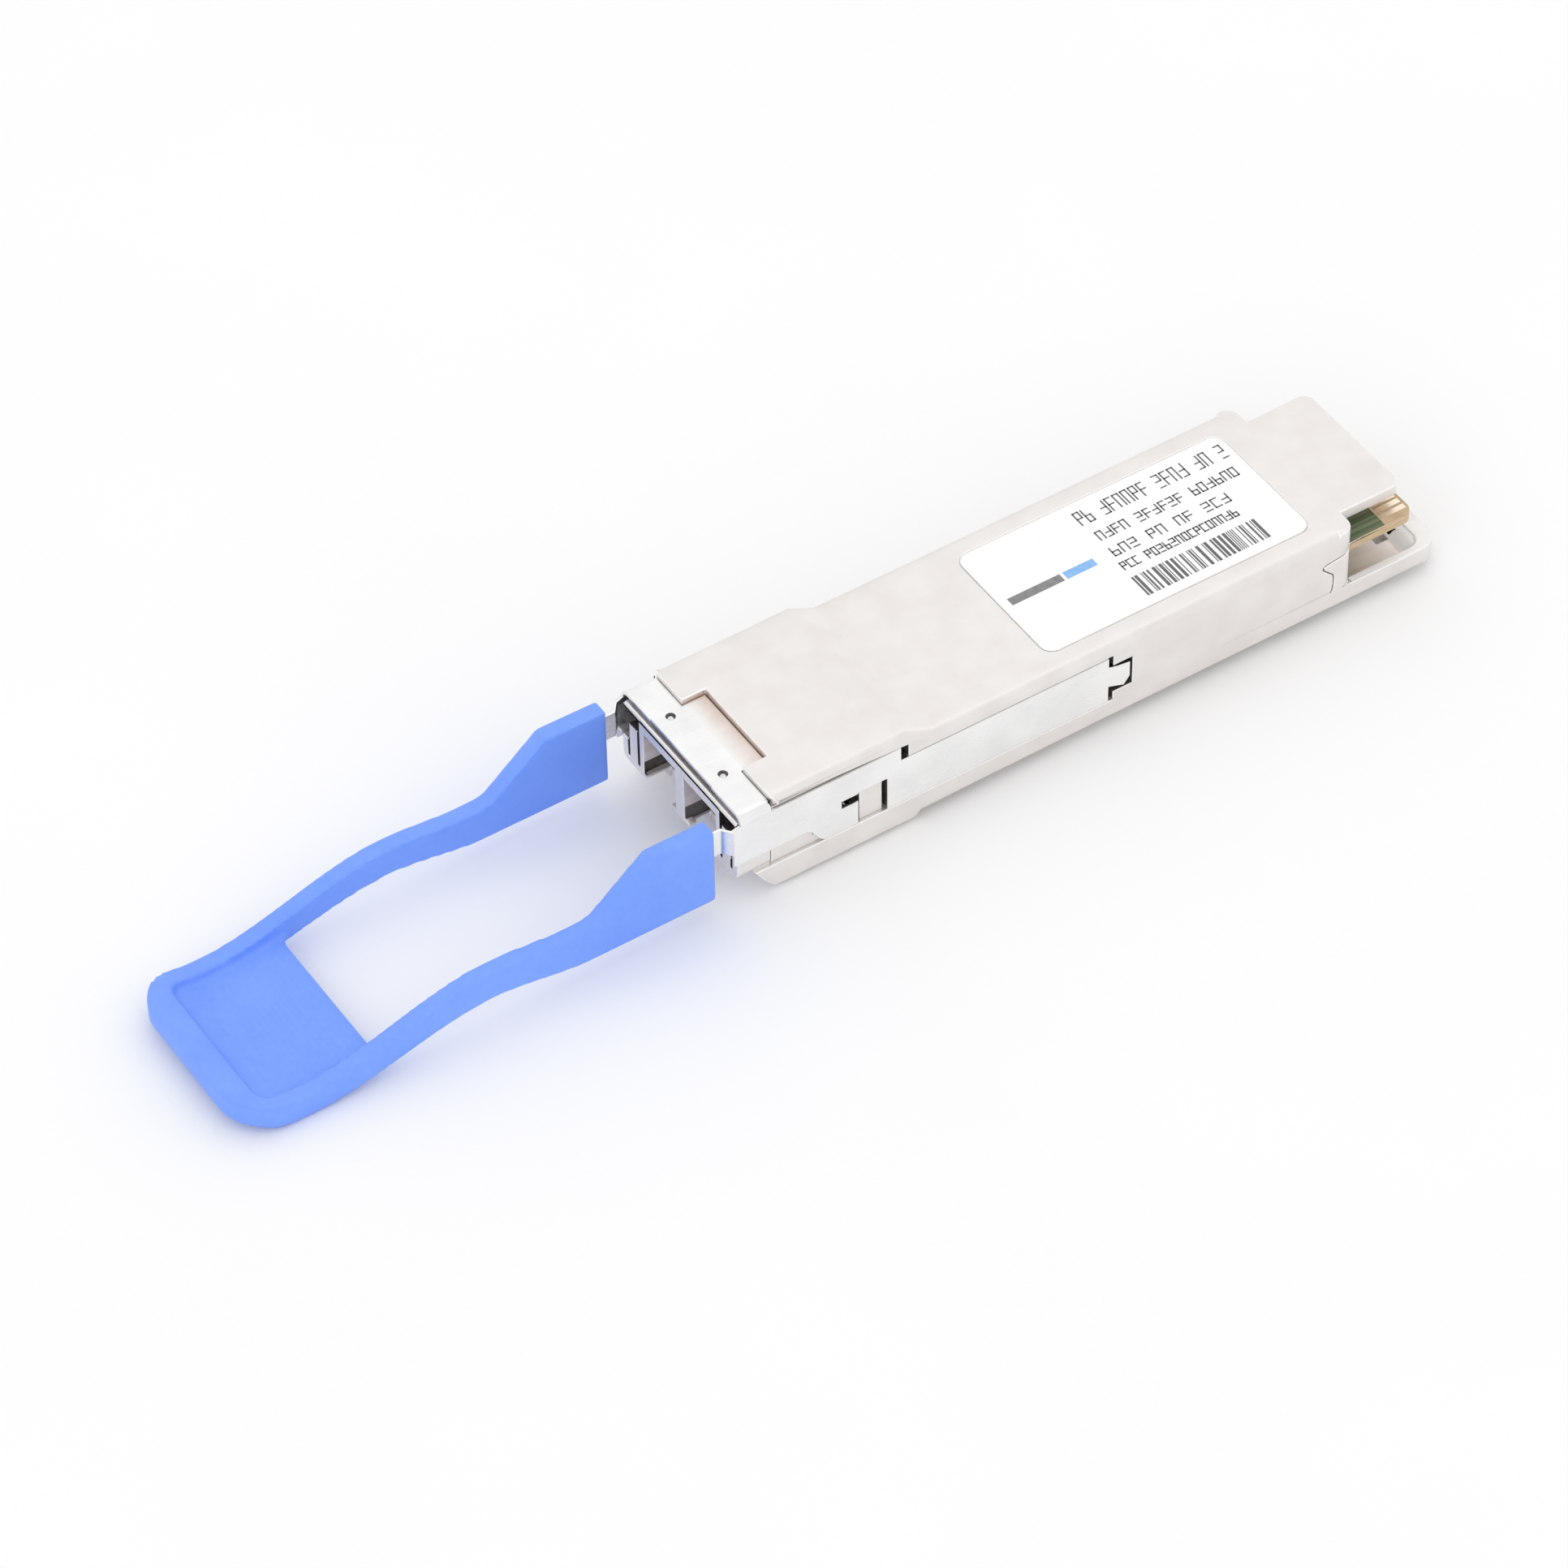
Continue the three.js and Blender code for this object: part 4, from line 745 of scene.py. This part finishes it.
def slider():
    """The sheet-metal slider, with a small tapered plug at the bottom of each dimple in its collar."""
    shape = clean_copy("latch_slider")
    origin = body_origin()
    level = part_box("latch_slider")[1].z
    cut_across(shape, (origin.x + TONGUE_REFLECTION_SPAN[0] * MM, 0, 0), (1, 0, 0))
    edges = sharp_edges(shape, SHARP_ANGLE)
    round_edges(shape, edges, SHEET_EDGE_RADIUS, segments=2, material_index=SHEET_EDGE)
    keep_inside(shape, "latch_slider")
    paint(shape, SLIDER_TONGUE, TONGUE)
    paint(shape, DIMPLE_WALLS, DIMPLE)
    for x, y in DIMPLE_PLACES:
        centre = Vector((origin.x + x * MM, origin.y + y * MM, level - DIMPLE_DEPTH))
        plug = bmesh.ops.create_cone(
            shape, cap_ends=True, segments=DIMPLE_SIDES, radius1=DIMPLE_RADIUS,
            radius2=DIMPLE_RADIUS / DIMPLE_NARROWING, depth=DIMPLE_DEPTH / 2,
            matrix=Matrix.Translation(centre),
        )
        for face in {face for vert in plug["verts"] for face in vert.link_faces}:
            face.material_index = SHEET_EDGE if face.normal.z > MOSTLY else DIMPLE
    sheet = stainless_surface("stainless_sheet", (0.86, 0.86, 0.855), (0.95, 0.95, 0.945), (0.16, 0.30))
    edge = stainless_surface("stainless_edge", (0.70, 0.69, 0.68), (0.86, 0.85, 0.84), (0.22, 0.34))
    return finish_piece(
        shape, "slider_sheet", "slider", ["latch_slider"],
        [sheet, edge, tongue_reflection_surface(), dimple_surface()],
    )


def tab():
    """The moulded pull tab, soft at every edge."""
    shape = rounded_by_remesh("pull_tab", TAB_VOXEL, TAB_SMOOTHING)
    low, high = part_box("pull_tab")
    front = low.x * PER_MM
    surface = tab_surface(front + WEB_FROM, front + WEB_TO, high.y * PER_MM - WEB_MARGIN)
    return finish_piece(shape, "tab_moulding", "slider", ["pull_tab"], [surface])


# ------------------------------------------------------------------ label


def label_film():
    shape = clean_copy("label")
    return finish_piece(shape, "label_sheet", "housing", ["label"], [label_surface()])


INK_HEIGHT = 0.006 * MM
STROKE = 0.15  # width of a printed stroke in millimetres
CELL_WIDTH = 0.62  # width of a character, as a share of the pitch of its row
# Rows of characters picked at random: X span, distance of the row's middle from the body's middle, character
# height, and the number of characters in each word.
PRINT_ROWS = (
    (43.6, 59.3, 5.0, 1.75, (2, 6, 4, 2, 1)),
    (43.9, 58.7, 2.35, 1.2, (4, 6, 6)),
    (43.8, 56.3, 0.1, 1.2, (3, 2, 2, 3)),
    (43.5, 55.7, -1.8, 1.05, (3, 15)),
)
BAR_BLOCK = (43.4, 56.2, -5.9, -3.3)  # X span, then Y span
BAR_WIDTHS = (0.1, 0.1, 0.2, 0.3)
BAR_GAPS = (0.1, 0.1, 0.2, 0.35)
MARK_BARS = ((33.2, 38.6), (38.9, 42.0))  # a grey bar and a blue one
MARK_ACROSS = (-0.45, 0.45)
PRINT_SEED = 7
# Strokes of a character cell that is 1 wide and 1 high: centre line from one point to another.
CELL_STROKES = {
    "left": ((0, 0), (0, 1)),
    "right": ((1, 0), (1, 1)),
    "upper_right": ((1, 0.5), (1, 1)),
    "lower_right": ((1, 0), (1, 0.5)),
    "top": ((0, 1), (1, 1)),
    "middle": ((0, 0.5), (1, 0.5)),
    "bottom": ((0, 0), (1, 0)),
}
# Eight simple characters. Some look like letters or digits, but their order spells nothing.
CHARACTERS = (
    ("left", "top", "middle"),
    ("left", "right", "top"),
    ("left", "bottom", "lower_right", "middle"),
    ("top", "upper_right", "middle", "bottom"),
    ("left", "right", "top", "bottom"),
    ("left", "top", "upper_right", "middle"),
    ("right", "bottom", "middle"),
    ("left", "bottom", "top"),
)


def printed_block(shape, origin, x_span, y_span, level, material_index):
    """A very thin block of ink on the label, with its span in millimetres from the body's origin."""
    centre = Vector((
        origin.x + (x_span[0] + x_span[1]) / 2 * MM, origin.y + (y_span[0] + y_span[1]) / 2 * MM, level,
    ))
    size = ((x_span[1] - x_span[0]) * MM, (y_span[1] - y_span[0]) * MM, INK_HEIGHT)
    made = bmesh.ops.create_cube(
        shape, size=1.0, matrix=Matrix.Translation(centre) @ Matrix.Diagonal((*size, 1.0)),
    )
    for face in {face for vert in made["verts"] for face in vert.link_faces}:
        face.material_index = material_index


def print_character(shape, origin, strokes, corner, size, level):
    """The strokes of one character, in a cell with the given lower left corner and size in millimetres."""
    for stroke in strokes:
        (u_from, v_from), (u_to, v_to) = CELL_STROKES[stroke]
        x_from = corner[0] + u_from * size[0] - STROKE / 2
        x_to = corner[0] + u_to * size[0] + STROKE / 2
        y_from = corner[1] + v_from * size[1] - STROKE / 2
        y_to = corner[1] + v_to * size[1] + STROKE / 2
        printed_block(shape, origin, (x_from, x_to), (y_from, y_to), level, 0)


def label_print():
    """Generic printing: rows of random characters, a block of bars and two plain bars for a mark."""
    chance = random.Random(PRINT_SEED)
    shape = bmesh.new()
    origin = body_origin()
    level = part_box("label")[1].z + INK_HEIGHT / 4
    for x_from, x_to, middle, height, words in PRINT_ROWS:
        pitch = (x_to - x_from) / (sum(words) + len(words) - 1)
        x = x_from
        for letters in words:
            for _ in range(letters):
                size = (pitch * CELL_WIDTH, height - STROKE)
                corner = (x + STROKE / 2, middle - height / 2 + STROKE / 2)
                print_character(shape, origin, chance.choice(CHARACTERS), corner, size, level)
                x += pitch
            x += pitch
    x, x_end, y_from, y_to = BAR_BLOCK
    while x < x_end:
        width = chance.choice(BAR_WIDTHS)
        printed_block(shape, origin, (x, x + width), (y_from, y_to), level, 0)
        x += width + chance.choice(BAR_GAPS)
    for index, x_span in enumerate(MARK_BARS):
        printed_block(shape, origin, x_span, MARK_ACROSS, level, index + 1)
    inks = [
        ink_surface("ink_dark", (0.10, 0.10, 0.10), (0.16, 0.16, 0.16)),
        ink_surface("ink_grey", (0.20, 0.20, 0.20), (0.28, 0.28, 0.28)),
        ink_surface("ink_blue", (0.20, 0.45, 0.85), (0.30, 0.55, 0.92)),
    ]
    return finish_piece(shape, "label_printing", "housing", [], inks)


# ------------------------------------------------------------------ return springs

DRAWN_STEEL = ((0.50, 0.50, 0.51), (0.68, 0.68, 0.69), (0.22, 0.36))  # two colours and the roughness


def return_spring(side, steel):
    """A return spring, carried on the housing with a mesh of its own. In the real module its front end stays
    put and its rear end comes forward with the slider; here the whole spring rides on the housing.
    """
    node = f"{side}_return_spring"
    shape = clean_copy(node)
    piece = finish_piece(shape, f"{side}_spring_wire", "housing", [node], [steel])
    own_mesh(piece)


# ------------------------------------------------------------------ card edge


def board():
    """The circuit board: green mask up to the contacts, bare laminate beyond them and on its edges."""
    shape = clean_copy("main_board")
    mask_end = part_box("top_contacts")[0].x
    cut_across(shape, (mask_end, 0, 0), (1, 0, 0))
    for face in shape.faces:
        level = abs(face.normal.z) > MOSTLY
        masked = level and face.calc_center_median().x < mask_end
        face.material_index = 0 if masked else 1
    return finish_piece(
        shape, "circuit_board", "housing", ["main_board"],
        [solder_mask_surface(), laminate_surface()],
    )


# ------------------------------------------------------------------ carried-over CAD nodes


def dress_node(node, surface):
    """Gives a CAD node that keeps its shape its own procedural material."""
    cad_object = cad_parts[node]
    cad_object.data.materials.clear()
    cad_object.data.materials.append(surface)


def dress_small_parts():
    gold = gold_surface()
    steel = stainless_surface("screw_steel", *DRAWN_STEEL)
    plastic = mottled_surface(
        "receptacle_plastic", (0.30, 0.26, 0.22), (0.42, 0.37, 0.32), 0.0,
        (0.45, 0.6), 0.5, 5.0, 0.01 * MM,
    )
    ceramic = mottled_surface(
        "sleeve_ceramic", (0.80, 0.78, 0.72), (0.90, 0.88, 0.83), 0.0,
        (0.18, 0.3), 0.4, 7.0, 0.002 * MM,
    )
    amber = mottled_surface(
        "flex_film", (0.45, 0.22, 0.05), (0.65, 0.36, 0.10), 0.0, (0.35, 0.5), 0.6, 4.0, 0.004 * MM,
    )
    chip = mottled_surface(
        "chip_package", (0.02, 0.02, 0.022), (0.05, 0.05, 0.055), 0.0, (0.4, 0.6), 1.5, 9.0, 0.01 * MM,
    )
    pad = mottled_surface(
        "thermal_pad", (0.30, 0.35, 0.42), (0.42, 0.47, 0.53), 0.0, (0.8, 0.95), 0.8, 3.0, 0.05 * MM,
    )
    gasket = mottled_surface(
        "gasket", (0.08, 0.08, 0.085), (0.14, 0.14, 0.145), 0.2, (0.7, 0.9), 1.0, 5.0, 0.03 * MM,
    )
    clamp = stainless_surface("clamp_steel", (0.70, 0.70, 0.70), (0.82, 0.82, 0.82), (0.25, 0.4))
    finishes = {
        gold: ["top_contacts", "bottom_contacts", "transmitter_subassembly", "receiver_subassembly"],
        steel: ["front_left_screw", "front_right_screw", "rear_left_screw", "rear_right_screw"],
        plastic: ["fibre_receptacle"],
        ceramic: ["left_ferrule_sleeve", "right_ferrule_sleeve"],
        amber: ["transmitter_flex", "receiver_flex"],
        chip: [
            "signal_processor", "laser_driver", "receiver_amplifier", "power_inductor", "microcontroller",
        ],
        pad: ["processor_thermal_pad", "optics_thermal_pad"],
        gasket: ["left_seam_gasket", "right_seam_gasket"],
        clamp: ["receptacle_clamp"],
    }
    for surface, nodes in finishes.items():
        for node in nodes:
            dress_node(node, surface)


# ------------------------------------------------------------------ assembly

place_camera()
light_scene()
lay_floor()

upper_housing()
lower_housing()
slider()
tab()
label_film()
label_print()
spring_wire = stainless_surface("spring_steel", *DRAWN_STEEL)
return_spring("left", spring_wire)
return_spring("right", spring_wire)
board()
dress_small_parts()
